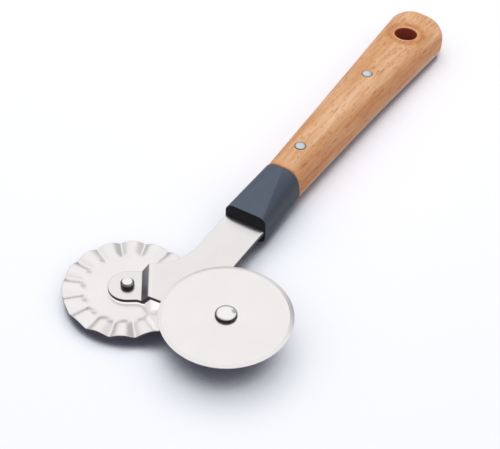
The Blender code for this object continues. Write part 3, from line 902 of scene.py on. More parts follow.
@dataclass
class Handle(Piece):
    """Wooden handle with a tenon, a flattened oval body and three upright holes."""

    widths: tuple[float, float, float] = (0.0145, 0.0185, 0.0256)
    thicknesses: tuple[float, float, float] = (0.0174, 0.0166, 0.0130)
    squareness: Pair = (2.5, 3.8)
    flattening: float = 1.03
    blend_power: float = 55.0
    butt_round_length: float = 0.0098
    butt_round_power: float = 2.15
    butt_edge_length: float = 0.0018
    butt_edge_power: float = 2.2
    slant: float = 0.14
    slant_length: float = 0.0160
    lean_length: float = 0.0300
    tenon_length: float = 0.0070
    tenon_half: Pair = (0.0053, 0.0063)
    front_edge: float = 0.00025
    hole_radius: float = 0.0045
    hole_mouth: float = 0.0006
    hole_patch: float = 0.0068
    pin_radius: float = 0.0020
    pin_gap: float = 0.00012
    pin_mouth: float = 0.00012
    pin_patch: float = 0.0031
    columns: int = 232
    body_rows: int = 208
    butt_rows: int = 40
    edge_rows: int = 5
    patch_rows: int = 9
    mouth_rows: int = 7

    def size(self, y: np.ndarray) -> tuple[np.ndarray, np.ndarray, np.ndarray]:
        """Return the nominal width, thickness and squareness at places along Y.

        Width and thickness lie on parabolas through a first, a middle and a last size.
        """
        front = self.layout.handle_front_y
        share = (y - front) / (self.layout.butt_tip_y - front)
        width, thickness = (first * (1 - share) * (1 - 2 * share)
                            + 4 * middle * share * (1 - share) + last * share * (2 * share - 1)
                            for first, middle, last in (self.widths, self.thicknesses))
        low, high = self.squareness
        return width, thickness, low + share * (high - low)

    def halves(self, y: np.ndarray) -> tuple[np.ndarray, np.ndarray, np.ndarray]:
        """Return the half width, half height and squareness along Y."""
        width, thickness, power = self.size(y)
        reach = np.clip((y - (self.layout.butt_tip_y - self.butt_round_length))
                        / self.butt_round_length, 0.0, 1.0)
        return width / 2 * fall(reach, self.butt_round_power), thickness / 2, power

    def edge_share(self, x: np.ndarray, y: np.ndarray) -> np.ndarray:
        """Return the share of the height left near the butt's outline.

        The outline is a superellipse seen from above, and the height falls to it on
        a quarter superellipse of the distance along Y.
        """
        share = np.minimum(np.abs(x) / (self.size(y)[0] / 2), 1.0)
        outline = (self.layout.butt_tip_y
                   - self.butt_round_length * (1 - fall(share, self.butt_round_power)))
        reach = np.clip(1 - (outline - y) / self.butt_edge_length, 0.0, 1.0)
        return fall(reach, self.butt_edge_power)

    def crown(self, x: np.ndarray, y: np.ndarray) -> np.ndarray:
        """Return the half height over a point of the plan.

        A superellipse, 3% too high, is held softly under the flat face.
        """
        half_width, half_height, power = self.halves(y)
        share = np.clip(np.abs(x) / half_width, 0.0, 1.0)
        arch = self.flattening * half_height * fall(share, power)
        return soft_least(arch, half_height, self.blend_power) * self.edge_share(x, y)

    def ring(self, y: np.ndarray, shrink: float = 0.0) -> np.ndarray:
        """Return section rings at places along Y.

        A point at angle a of the section lies at the superellipse's radius in
        units of the half sizes.

        Args:
            y: the places.
            shrink: how much the half sizes are taken in.

        Returns:
            A grid of points, place by angle.
        """
        half_width, half_height, power = (v[:, None] for v in self.halves(y))
        turn = np.arange(self.columns) * 2 * math.pi / self.columns
        radius = oval(turn, power)
        x = (half_width - shrink) * radius * np.cos(turn)
        arch = self.flattening * (half_height - shrink) * radius * np.abs(np.sin(turn))
        rise = soft_least(arch, half_height - shrink, self.blend_power)
        z = half_height + np.sign(np.sin(turn)) * rise * self.edge_share(x, y[:, None])
        return np.stack([x, y[:, None] + 0 * x, z], axis=-1)

    def front_rows(self) -> np.ndarray:
        """Return the rows of the tenon and of the wood's rounded front edge."""
        turn = np.arange(self.columns) * 2 * math.pi / self.columns
        wide, high = self.tenon_half
        radius = oval(turn, self.squareness[0])
        front = self.layout.handle_front_y
        flat = np.stack([wide * radius * np.cos(turn), 0 * turn,
                         self.thicknesses[0] / 2 + high * radius * np.sin(turn)], axis=-1)
        middle = np.array([0.0, front - self.tenon_length, self.thicknesses[0] / 2])
        rows = [np.broadcast_to(middle, flat.shape)]
        rows += [flat + (0.0, y, 0.0) for y in (front - self.tenon_length, front)]
        for angle in np.linspace(0.0, QUARTER, self.edge_rows)[:-1]:
            row = self.ring(np.array([front]), self.front_edge * (1 - math.sin(angle)))[0]
            rows.append(row + (0.0, self.front_edge * (1 - math.cos(angle)), 0.0))
        return np.array(rows)

    def bore(self, grid: np.ndarray, keep: np.ndarray, y: float, radius: float, mouth: float,
             reach: float) -> np.ndarray:
        """Cut an upright hole with rounded mouths into the body.

        A patch of the grid round the hole is taken out above and below. Rings
        carry each patch's border to a circle at even shares of the way, the
        mouths turn down on a quarter circle, and the wall joins the two.

        Args:
            grid: the body's rows of points.
            keep: which quads of the grid stay, changed in place.
            y: the hole's place along the tool.
            radius: its radius.
            mouth: the radius of its mouths.
            reach: half the length of the patch.

        Returns:
            The hole's own grid of points.
        """
        top = self.columns // 4
        first, last = (int(np.abs(grid[:, 0, 1] - (y + end)).argmin()) for end in (-reach, reach))
        x = grid[(first + last) // 2, :top + 1, 0]
        aside = top - int(np.abs(x - reach).argmin())
        left, right = top - aside, top + aside
        keep[first:last, left:right] = False
        keep[first:last, self.columns - right:self.columns - left] = False
        across, along = np.arange(left, right), np.arange(first, last)
        rows = np.concatenate([np.full(across.size, first), along,
                               np.full(across.size, last), along[::-1] + 1])
        columns = np.concatenate([across, np.full(along.size, right),
                                  across[::-1] + 1, np.full(along.size, left)])
        border = grid[rows, columns, :2]
        away = border - (0.0, y)
        unit = away / np.linalg.norm(away, axis=1, keepdims=True)

        shares = np.linspace(0.0, 1.0, self.patch_rows)[:, None, None]
        plan = (1 - shares) * border + shares * ((0.0, y) + (radius + mouth) * unit)
        turns = onward(0.0, QUARTER, self.mouth_rows)[:, None, None]
        curl = (0.0, y) + (radius + mouth * (1 - np.sin(turns))) * unit
        depth = np.concatenate([np.zeros((len(shares), 1)), mouth * (1 - np.cos(turns[:, 0]))])
        plan = np.concatenate([plan, curl])
        half = self.crown(plan[..., 0], plan[..., 1]) - depth
        middle = self.halves(plan[..., 1])[1]
        upper = np.concatenate([plan, (middle + half)[..., None]], axis=-1)
        lower = np.concatenate([plan, (middle - half)[..., None]], axis=-1)
        return np.concatenate([upper, lower[::-1]])

    def sheared(self, grid: np.ndarray) -> np.ndarray:
        """Return points moved along Y, with the slanted butt and the slanted joint.

        Near the butt they move back by their X, and near the collar by how far they
        lie below the joint's top.
        """
        grid = grid.copy()
        share = 1 - (self.layout.butt_tip_y - grid[..., 1]) / self.slant_length
        near = 1 - (grid[..., 1] - self.layout.handle_front_y) / self.lean_length
        lean = np.where(near > 1, 0.0, smooth_step(near))
        grid[..., 1] += (lean * self.layout.joint_slant(grid[..., 2])
                         - self.slant * smooth_step(share) * grid[..., 0])
        return grid

    def skin(self) -> Skin:
        """Return the tenon, the body and the walls of its three holes."""
        places = self.layout
        body_end = places.butt_tip_y - self.butt_round_length
        stations = np.concatenate([
            np.linspace(places.handle_front_y + self.front_edge, body_end, self.body_rows),
            body_end + self.butt_round_length * np.sin(onward(0.0, QUARTER, self.butt_rows + 1))])
        body = self.ring(stations)
        keep = np.ones((len(stations) - 1, self.columns), dtype=bool)
        pin_hole = (self.pin_radius + self.pin_gap, self.pin_mouth, self.pin_patch)
        holes = [self.sheared(self.bore(body, keep, *hole)) for hole in (
            (places.hole_y, self.hole_radius, self.hole_mouth, self.hole_patch),
            (places.front_pin_y, *pin_hole), (places.rear_pin_y, *pin_hole))]
        skin = round_skin(*holes)
        skin.add_grid(self.sheared(body), around=True, keep=keep)
        front = np.concatenate([self.front_rows(), body[:1]])
        skin.add_grid(self.sheared(front), around=True)
        return skin

    def finish(self) -> Finish:
        """Return beech with its hole, its pins and its scorched front."""
        places = self.layout
        pins = ((0.0, places.front_pin_y, 0.0), (0.0, places.rear_pin_y, 0.0))
        return BeechFinish(hole=(0.0, places.hole_y, 0.0), hole_radius=self.hole_radius,
                           pins=pins, pin_radius=self.pin_radius,
                           front_y=places.handle_front_y)


@dataclass
class Ferrule(Piece):
    """Moulded collar that turns from a flat box round the stem into the wood's oval."""

    front_half: Pair = (0.0083, 0.0060)
    rear_half: Pair = (0.0074, 0.008775)
    corner_radius: float = 0.0032
    facet_start: float = 0.0014
    rear_flat: float = 0.0008
    rear_squareness: float = 2.45
    edge_round: float = 0.00025
    slot_half: Pair = (0.0079, 0.00087)
    slot_depth: float = 0.0020
    slot_reach: float = 0.97
    socket_half: Pair = (0.0056, 0.0066)
    socket_depth: float = 0.0072
    flat_points: int = 9
    arc_points: int = 26
    edge_rows: int = 7
    rows: int = 40

    def quarter(self, half: Pair, corner: Pair, power: float) -> np.ndarray:
        """Return a quarter of a section: a flat side, an arc and a flat top.

        The arc's points are its corner plus what is left of the half sizes times
        the cosine and sine of the turn, each raised to a power.

        Args:
            half: the section's half width and half height.
            corner: the point from which the arc fans out.
            power: 1 for a round arc, and less for a squarer one.

        Returns:
            Points as rows of (across, up).
        """
        flat = np.linspace(0.0, 1.0, self.flat_points)[:-1, None]
        half, corner = np.array(half), np.array(corner)
        arc = corner + (half - corner) * circle(np.linspace(0.0, QUARTER, self.arc_points)) ** power
        side = half * (1, 0) + flat * corner * (0, 1)
        top = half * (0, 1) + (1 - flat[1:]) * corner * (1, 0)
        return np.concatenate([side, arc, top])

    def section(self, share: float, inset: float = 0.0) -> np.ndarray:
        """Return one section of the collar, as points in space.

        Each point goes straight from the front, a box whose corners are arcs, to
        the rear, where the same arcs fan out to quarters of an oval and the flat
        faces narrow almost to a line.

        Args:
            share: the share of the way from the front to the rear.
            inset: how much the section is taken in.

        Returns:
            The section's points, which lean with the joint towards the rear.
        """
        wide, high = self.front_half
        bend = self.corner_radius
        front = self.quarter(self.front_half, (wide - bend, high - bend), 1.0)
        rear = self.quarter(self.rear_half, (self.rear_flat, self.rear_flat),
                            2 / self.rear_squareness)
        quarter = front + share * (rear - front)
        half = quarter.max(axis=0)
        quarter = quarter * (half - inset) / half
        mirror = quarter[::-1] * (-1, 1)
        crown = np.array([[0.0, quarter[:, 1].max()]])
        upper = np.concatenate([quarter, crown, mirror[:-1]])
        lower = np.concatenate([mirror[-1:], (upper[1:] * (1, -1))[::-1]])
        loop = np.concatenate([upper, lower])
        places = self.layout
        height = (loop[:, 1] + places.plate_height
                  + share * (self.rear_half[1] - places.plate_height))
        y = places.ferrule_front_y + share * (places.ferrule_rear_y - places.ferrule_front_y)
        return np.stack([loop[:, 0], y + share * places.joint_slant(height), height], axis=-1)

    def stem_pocket(self, border: np.ndarray) -> np.ndarray:
        """Return the front face with the narrow pocket that the stem enters.

        Each border point is carried straight towards the stem's middle until it
        meets the pocket's box.
        """
        middle = np.array([0.0, border[0, 1], self.layout.plate_height])
        away = border - middle
        wide, high = self.slot_half
        reach = np.minimum(wide / np.maximum(np.abs(away[:, 0]), TINY),
                           high / np.maximum(np.abs(away[:, 2]), TINY))
        slot = middle + away * np.minimum(reach, self.slot_reach)[:, None]
        deep = np.array([0.0, self.slot_depth, 0.0])
        return np.array([border, (border + slot) / 2, slot, slot + deep,
                         np.broadcast_to(middle + deep, slot.shape)])

    def socket(self, border: np.ndarray) -> np.ndarray:
        """Return the rear face with the oval socket that the wood's tenon enters."""
        places = self.layout
        middle = border.mean(axis=0)
        shrink = (self.socket_half[0] / self.rear_half[0], 1.0,
                  self.socket_half[1] / self.rear_half[1])
        hole = middle + (border - middle) * shrink
        hole[:, 1] = places.ferrule_rear_y + places.joint_slant(hole[:, 2])
        floor = hole * (1, 0, 1) + (0.0, places.ferrule_rear_y - self.socket_depth, 0.0)
        return np.array([border, hole, floor, np.broadcast_to(floor.mean(axis=0), hole.shape)])

    def skin(self) -> Skin:
        """Return the outer skin, rounded at both ends, and the faces with their openings."""
        length = self.layout.ferrule_rear_y - self.layout.ferrule_front_y
        edge = self.edge_round
        turns = np.linspace(0.0, QUARTER, self.edge_rows)
        sections = [(edge * (1 - math.cos(t)), edge * (1 - math.sin(t))) for t in turns[:-1]]
        sections += [(y, 0.0) for y in np.linspace(edge, length - edge, self.rows)]
        sections += [(length - edge * (1 - math.sin(t)), edge * (1 - math.cos(t)))
                     for t in (QUARTER - turns)[::-1][1:]]
        rows = [self.section(y / length, inset) for y, inset in sections]
        return round_skin(np.array(rows), self.stem_pocket(rows[0]), self.socket(rows[-1]))

    def finish(self) -> Finish:
        """Return slate plastic with painted shade on a facet and on its front."""
        places = self.layout
        return PlasticFinish(front_y=places.ferrule_front_y, rear_y=places.ferrule_rear_y,
                             plate_top=places.plate_height + places.plate_thickness / 2,
                             flat_front=self.front_half[0] - self.facet_start,
                             flat_rear=self.rear_flat)


@dataclass
class ForkPlate(Piece):
    """Steel plate whose two tabs are joggled, one up and one down."""

    stem_width: float = 0.0160
    neck_width: float = 0.0154
    fillet_radius: float = 0.0190
    arm_angle: float = math.radians(33.0)
    tab_radius: float = 0.0068
    fold_start: float = 0.0053
    fold_end: float = 0.0077
    fold_margins: Pair = (0.0012, 0.0007)
    outer_bend: float = 0.0009
    inner_bend: float = 0.00035
    arch_setback: float = 0.0027
    arch_radius: float = 0.0800
    corner_radius: float = 0.0030
    tang_width: float = 0.0100
    tang_corner: float = 0.0020
    neck_inside: float = 0.0030
    shoulder_length: float = 0.0003
    edge_round: float = 0.00026
    columns: int = 30
    tip_rows: int = 24
    arm_rows: int = 14
    fold_rows: int = 56
    arch_rows: int = 16
    fan_rows: int = 40
    stem_rows: int = 34
    tang_rows: int = 50
    end_rows: int = 12
    edge_rows: int = 5

    def __post_init__(self) -> None:
        """Work out the arm's two directions and the centres of its hollow corners."""
        sin, cos = math.sin(self.arm_angle), math.cos(self.arm_angle)
        self.inward = np.array([-cos, sin])
        self.upward = np.array([sin, cos])
        self.tab = np.array([self.layout.axle_half_spread, self.layout.axle_y])
        self.arch_centre = np.array([0.0, self.tab[1] - self.arch_setback - self.arch_radius])
        fillet_x = self.stem_width / 2 + self.fillet_radius
        rise = (self.tab_radius + self.fillet_radius - (fillet_x - self.tab[0]) * sin) / cos
        self.fillet_centre = np.array([fillet_x, self.tab[1] + rise])
        start = self.tab - (self.tab_radius + self.corner_radius) * self.upward
        offset = start - self.arch_centre
        half_b = float(offset @ self.inward)
        reach = self.arch_radius - self.corner_radius
        root = math.sqrt(half_b ** 2 - float(offset @ offset) + reach ** 2)
        self.corner_centre = start + (root - half_b) * self.inward

    def fold(self, along: np.ndarray, first: float, last: float, drop: float,
             bends: Pair) -> np.ndarray:
        """Return the height of a folded face over the plate's own level.

        Two levels are joined by a straight ramp, and an arc rounds each corner.

        Args:
            along: distances from the axle along the arm.
            first: where the tab's level and the ramp would meet.
            last: where the ramp and the plate's level would meet.
            drop: the tab's height over the plate.
            bends: radii of the two arcs.

        Returns:
            The heights.
        """
        slope = math.atan2(drop, last - first)
        start_radius, end_radius = bends
        start = first - start_radius * math.tan(slope / 2)
        end = last + end_radius * math.tan(slope / 2)
        into = np.clip(along - start, 0.0, start_radius * math.sin(slope))
        out = np.clip(end - along, 0.0, end_radius * math.sin(slope))
        ramp = drop - math.tan(slope) * (along - first)
        return np.select(
            [along < start, along < start + start_radius * math.sin(slope),
             along < end - end_radius * math.sin(slope), along < end],
            [drop + 0 * along, drop - start_radius + np.sqrt(start_radius ** 2 - into ** 2),
             ramp, end_radius - np.sqrt(end_radius ** 2 - out ** 2)], 0 * along)

    def heights(self, plan: np.ndarray, side: int) -> tuple[np.ndarray, np.ndarray]:
        """Return the upper and lower heights over points of the right half's plan.

        Args:
            plan: points on the half with the plain wheel's tab.
            side: 1 if this tab goes up and -1 if it goes down.

        Returns:
            Heights of the upper and the lower face.
        """
        half = self.layout.plate_thickness / 2
        drop = self.layout.joggle(side)
        shift = half * math.tan(math.atan2(drop, self.fold_end - self.fold_start) / 2)
        along = (plan - self.tab) @ self.inward
        bends = (self.outer_bend, self.inner_bend)
        convex, hollow = (face * half + self.fold(along, self.fold_start + face * shift,
                                                  self.fold_end + face * shift, drop,
                                                  bends[::face])
                          for face in (1, -1))
        level = self.layout.plate_height
        if side > 0:
            return level + convex, level + hollow
        return level - hollow, level - convex

    def inner_edge(self, along: np.ndarray, inset: float) -> np.ndarray:
        """Return points of the lower edge at distances along the arm.

        The edge is the tab's straight side, a hollow corner and the front arch, and
        each is met where a line across the arm crosses it.
        """
        def crossing(centre: np.ndarray, radius: float) -> np.ndarray:
            """Return how far up the line across meets a circle."""
            e, n = (centre - self.tab) @ self.inward, (centre - self.tab) @ self.upward
            return n + np.sqrt(np.maximum(radius ** 2 - (along - e) ** 2, 0.0))

        to_corner = self.corner_centre - self.arch_centre
        meet = (self.corner_centre + (self.corner_radius + inset)
                * to_corner / np.linalg.norm(to_corner))
        straight_end = (self.corner_centre - self.tab) @ self.inward
        across = np.select(
            [along < straight_end, along < (meet - self.tab) @ self.inward],
            [-(self.tab_radius - inset) + 0 * along,
             crossing(self.corner_centre, self.corner_radius + inset)],
            crossing(self.arch_centre, self.arch_radius + inset))
        return self.tab + along[:, None] * self.inward + across[:, None] * self.upward

    def edges(self, inset: float) -> tuple[np.ndarray, np.ndarray, int]:
        """Return the two edges of the right half, taken in by an inset.

        Both run from the tab's tip. The outer one follows the tab, the arm, the
        fillet, the stem and the tang to the tang's end. The inner one follows the
        tab, the hollow corner and the front arch, and then the middle line.

        Args:
            inset: the distance from the real outline.

        Returns:
            Outer points, inner points, and the row at which the middle line starts.
        """
        radius = self.tab_radius - inset
        turn = np.linspace(0.0, QUARTER, self.tip_rows + 1)[:, None]
        tip = self.tab - radius * np.cos(turn) * self.inward
        fan_start = float((self.fillet_centre - self.tab) @ self.inward)
        folds = self.fold_start - self.fold_margins[0], self.fold_end + self.fold_margins[1]
        along = np.concatenate([onward(0.0, folds[0], self.arm_rows),
                                onward(*folds, self.fold_rows), [fan_start]])
        outer = [tip + radius * np.sin(turn) * self.upward,
                 self.tab + along[:, None] * self.inward + radius * self.upward]
        inner = [tip - radius * np.sin(turn) * self.upward, self.inner_edge(along, inset)]

        rows = self.arch_rows + self.fan_rows
        angle = onward(math.pi * 3 / 2 - self.arm_angle, math.pi, rows + 1)
        outer.append(self.fillet_centre + (self.fillet_radius + inset) * circle(angle))
        last = inner[-1][-1] - self.arch_centre
        angle = onward(math.atan2(last[0], last[1]), 0.0, self.arch_rows + 1)
        inner.append(self.arch_centre + (self.arch_radius + inset) * circle(angle)[:, ::-1])
        middle_row = sum(len(piece) for piece in inner) - 1
        arch_top = inner[-1][-1][1]
        fan_end = float(self.fillet_centre[1])
        neck = self.layout.ferrule_front_y - self.layout.running_gap
        shoulder = self.layout.ferrule_front_y + self.neck_inside
        tang_end = self.layout.tang_end_y
        corner = self.tang_corner
        stem = onward(fan_end, neck - self.shoulder_length, self.stem_rows)
        neck_rows = np.array([neck, shoulder - self.shoulder_length])
        tang = np.concatenate([[shoulder], onward(shoulder, tang_end - corner, self.tang_rows)])
        for rows, width in ((stem, self.stem_width), (neck_rows, self.neck_width),
                            (tang, self.tang_width)):
            outer.append(np.stack([np.full(len(rows), width / 2 - inset), rows], -1))
        middle = np.concatenate([onward(arch_top, fan_end, self.fan_rows + 1), stem, neck_rows,
                                 tang, onward(tang_end - corner, tang_end - inset,
                                              self.end_rows + 1)])
        inner.append(np.stack([0 * middle, middle], -1))
        half = self.end_rows // 2
        centre = np.array([self.tang_width / 2 - corner, tang_end - corner])
        outer.append(centre + (corner - inset) * circle(onward(0.0, QUARTER, half + 1)))
        flat = onward(centre[0], 0.0, self.end_rows - half + 1)
        outer.append(np.stack([flat, np.full(len(flat), tang_end - inset)], -1))
        return np.concatenate(outer), np.concatenate(inner), middle_row

    def add_half(self, skin: Skin, side: int) -> None:
        """Add one half of the plate: two faces and the rounded wall at its edge.

        Args:
            skin: where the grids go.
            side: 1 for the plain wheel's half and -1 for the fluted wheel's.
        """
        def solid(plan: np.ndarray, height: np.ndarray) -> np.ndarray:
            """Return plan points on this side, with their heights."""
            return np.concatenate([plan * (side, 1), height[..., None]], axis=-1)

        outer, inner, middle_row = self.edges(self.edge_round)
        share = np.linspace(0.0, 1.0, self.columns)[None, :, None]
        plan = outer[:, None] * (1 - share) + inner[:, None] * share
        for height in self.heights(plan, side):
            skin.add_grid(solid(plan, height))
        upper, lower = [], []
        for turn in np.linspace(QUARTER, 0.0, self.edge_rows):
            outer, inner, _ = self.edges(self.edge_round * (1 - math.cos(turn)))
            loop = np.concatenate([outer[::-1], inner[1:middle_row + 1]])
            top, bottom = self.heights(loop, side)
            drop = self.edge_round * (1 - math.sin(turn))
            upper.append(solid(loop, top - drop))
            lower.append(solid(loop, bottom + drop))
        skin.add_grid(np.array(upper + lower[::-1]))

    def skin(self) -> Skin:
        """Return both halves of the plate."""
        skin = Skin()
        for side in (1, -1):
            self.add_half(skin, side)
        return skin

    def finish(self) -> Finish:
        """Return satin steel, brushed along the tool, with painted shade on its joggle ramps and
        upright edges and a painted glow on its walls and underside for glossy rays.
        """
        return SteelFinish("satin_steel", colour=(0.85, 0.825, 0.82), shade=(0.76, 0.735, 0.73),
                           roughness=0.23, brushing=Brushing.STRAIGHT, wall_slope=(0.55, 0.85),
                           mirrored=(0.60, 0.60, 0.60))


@dataclass
class PlainWheel(Piece):
    """Flat cutting wheel with a bevel ground on both sides of its rim."""

    radius: float = 0.0225
    bore: float = 0.0027
    bevel: float = 0.0016
    land: float = 0.0003
    edge_round: float = 0.0001
    shoulder_round: float = 0.0012
    ground_share: float = 0.62
    segments: int = 288

    def skin(self) -> Skin:
        """Return the wheel's turned profile, the same below as above."""
        half = self.layout.wheel_thickness / 2
        upper = [(self.bore, 0.0, 0.0), (self.bore, half, self.edge_round),
                 (self.radius - self.bevel, half, self.shoulder_round),
                 (self.radius, self.land / 2, self.edge_round)]
        lower = [(radius, -height, bend) for radius, height, bend in reversed(upper)]
        centre = self.layout.wheel_centre(1)
        return round_skin(turned(rounded(upper + lower), centre, self.segments))

    def finish(self) -> Finish:
        """Return turned steel with a ring on the bevel."""
        return SteelFinish("plain_wheel_steel", colour=(0.90, 0.865, 0.865),
                           shade=(0.80, 0.775, 0.78), roughness=0.17,
                           centre=self.layout.wheel_centre(1),
                           ring_radius=self.radius - self.bevel / 2,
                           ring_width=self.bevel * self.ground_share, wall_share=0.0,
                           upright_shade_share=0.0)


@dataclass
class FlutedWheel(Piece):
    """Pressed crimping wheel: rounded lobes meet in narrow creases round its rim."""

    radius: float = 0.02249
    bore: float = 0.0027
    flutes: int = 16
    height: float = 0.00125
    crease_depth: float = 0.00003
    crease_round: float = 0.07
    flat_start: float = 0.0045
    inner_radius: float = 0.0132
    ramp_length: float = 0.0040
    ramp_share: float = 0.6
    phase: float = math.radians(18.6)
    edge_round: float = 0.00022
    steps: int = 28
    flat_rows: int = 6
    ramp_rows: int = 26
    rim_rows: int = 18
    edge_rows: int = 6

    def rise(self, radius: np.ndarray, angle: np.ndarray) -> np.ndarray:
        """Return the sheet's height over the flat disc.

        The size of a sine makes the lobes, a small number under the root rounds
        their creases, and a gentle ramp and a slow growth to the rim set their height.
        """
        wave = np.sin(self.flutes / 2 * (angle - self.phase))
        soft = self.crease_round
        lobe = (np.sqrt(wave ** 2 + soft ** 2) - soft) / (math.hypot(1.0, soft) - soft)
        ramp = smooth_step((radius - self.inner_radius) / self.ramp_length)
        outward = np.maximum(radius - self.inner_radius, 0.0) / (self.radius - self.inner_radius)
        growth = ramp * (self.ramp_share + (1 - self.ramp_share) * outward)
        return growth * (lobe * (self.height + self.crease_depth) - self.crease_depth)

    def skin(self) -> Skin:
        """Return the sheet, whose two faces follow one rise and meet at a rounded rim."""
        half = self.layout.wheel_thickness / 2
        count = self.flutes * self.steps
        angle = (self.phase + np.arange(count) * 2 * math.pi / count)[None, :]
        edge = self.edge_round
        turns = onward(QUARTER, 0.0, self.edge_rows)
        ramp_end = self.inner_radius + self.ramp_length
        flat = np.concatenate([[self.bore],
                               np.linspace(self.flat_start, self.inner_radius, self.flat_rows),
                               onward(self.inner_radius, ramp_end, self.ramp_rows),
                               onward(ramp_end, self.radius - edge, self.rim_rows)])
        radii = np.concatenate([flat, self.radius - edge * (1 - np.cos(turns))])[:, None]
        falls = np.concatenate([0 * flat, edge * (1 - np.sin(turns))])[:, None]
        rise = self.rise(radii, angle)
        plan = radii[..., None] * circle(angle)
        upper = np.concatenate([plan, (rise + half - falls)[..., None]], axis=-1)
        lower = np.concatenate([plan, (rise - half + falls)[..., None]], axis=-1)
        loop = np.concatenate([upper, lower[::-1], upper[:1]])
        return round_skin(loop + np.array(self.layout.wheel_centre(-1)))

    def finish(self) -> Finish:
        """Return turned steel with painted shade in a ring on the very rim and on the rim's wall.
        """
        return SteelFinish("fluted_wheel_steel", colour=(0.91, 0.88, 0.875),
                           shade=(0.80, 0.77, 0.77), roughness=0.26,
                           centre=self.layout.wheel_centre(-1), ring_radius=self.radius,
                           ring_width=self.edge_round * 2, ring_share=0.9)


@dataclass
class WheelRivet(Piece):
    """Shouldered rivet: a domed head outside the wheel and a button on the tab."""

    side: int
    shoulder_radius: float = 0.0025
    shank_radius: float = 0.0019
    head_radius: float = 0.0038
    head_height: float = 0.0015
    head_lip: float = 0.0003
    head_round: float = 0.00012
    tail_radius: float = 0.0024
    tail_height: float = 0.0019
    tail_edge: float = 0.00072
    tail_round: float = 0.0003
    press_gap: float = 0.0002
    segments: int = 112
    dome_points: int = 20

    def skin(self) -> Skin:
        """Return the turned rivet, whose dome stands over a short upright lip."""
        half = self.layout.plate_thickness / 2
        head = half + 2 * self.layout.running_gap + self.layout.wheel_thickness
        tail = -half - self.press_gap
        foot = tail - self.tail_height
        body = rounded([(0.0, foot, 0.0),
                        (self.tail_radius - self.tail_edge, foot, self.tail_round),
                        (self.tail_radius, foot + self.tail_edge, self.tail_round),
                        (self.tail_radius, tail, 0.0), (self.shank_radius, tail, 0.0),
                        (self.shank_radius, half + self.press_gap, 0.0),
                        (self.shoulder_radius, half + self.press_gap, 0.0),
                        (self.shoulder_radius, head, 0.0),
                        (self.head_radius, head, self.head_round),
                        (self.head_radius - self.head_lip / 2, head + self.head_lip, 0.0)])
        profile = domed(body, self.head_height - self.head_lip, self.dome_points) * (1, self.side)
        return round_skin(turned(profile, self.layout.axle(self.side), self.segments))

    def finish(self) -> Finish:
        """Return polished steel with painted shade on its upright walls."""
        return SteelFinish(self.node + "_steel", colour=(0.93, 0.91, 0.91),
                           shade=(0.66, 0.65, 0.65), roughness=0.13,
                           centre=self.layout.axle(self.side), wall_slope=(0.62, 0.90),
                           wall=(0.035, 0.034, 0.040), wall_share=0.93)


@dataclass
class HandlePin(Piece):
    """Aluminium pin through the wood and the tang, slightly domed on top."""

    y: float
    top: float
    radius: float = 0.0020
    foot: float = 0.0002
    foot_round: float = 0.00015
    head_height: float = 0.0004
    rim_width: float = 0.0005
    segments: int = 96
    dome_points: int = 14

    def skin(self) -> Skin:
        """Return the turned pin."""
        body = rounded([(0.0, self.foot, 0.0), (self.radius, self.foot, self.foot_round),
                        (self.radius, self.top, 0.0)])
        profile = domed(body, self.head_height, self.dome_points)
        return round_skin(turned(profile, (0.0, self.y, 0.0), self.segments))

    def finish(self) -> Finish:
        """Return a grey metal with painted shade at its rim and on its upright side."""
        return SteelFinish(self.node + "_alloy", colour=(0.66, 0.72, 0.77),
                           shade=(0.30, 0.33, 0.36), roughness=0.29, centre=(0.0, self.y, 0.0),
                           ring_radius=self.radius, ring_width=self.rim_width, ring_share=0.7,
                           upright_shade_share=0.4)


# Studio


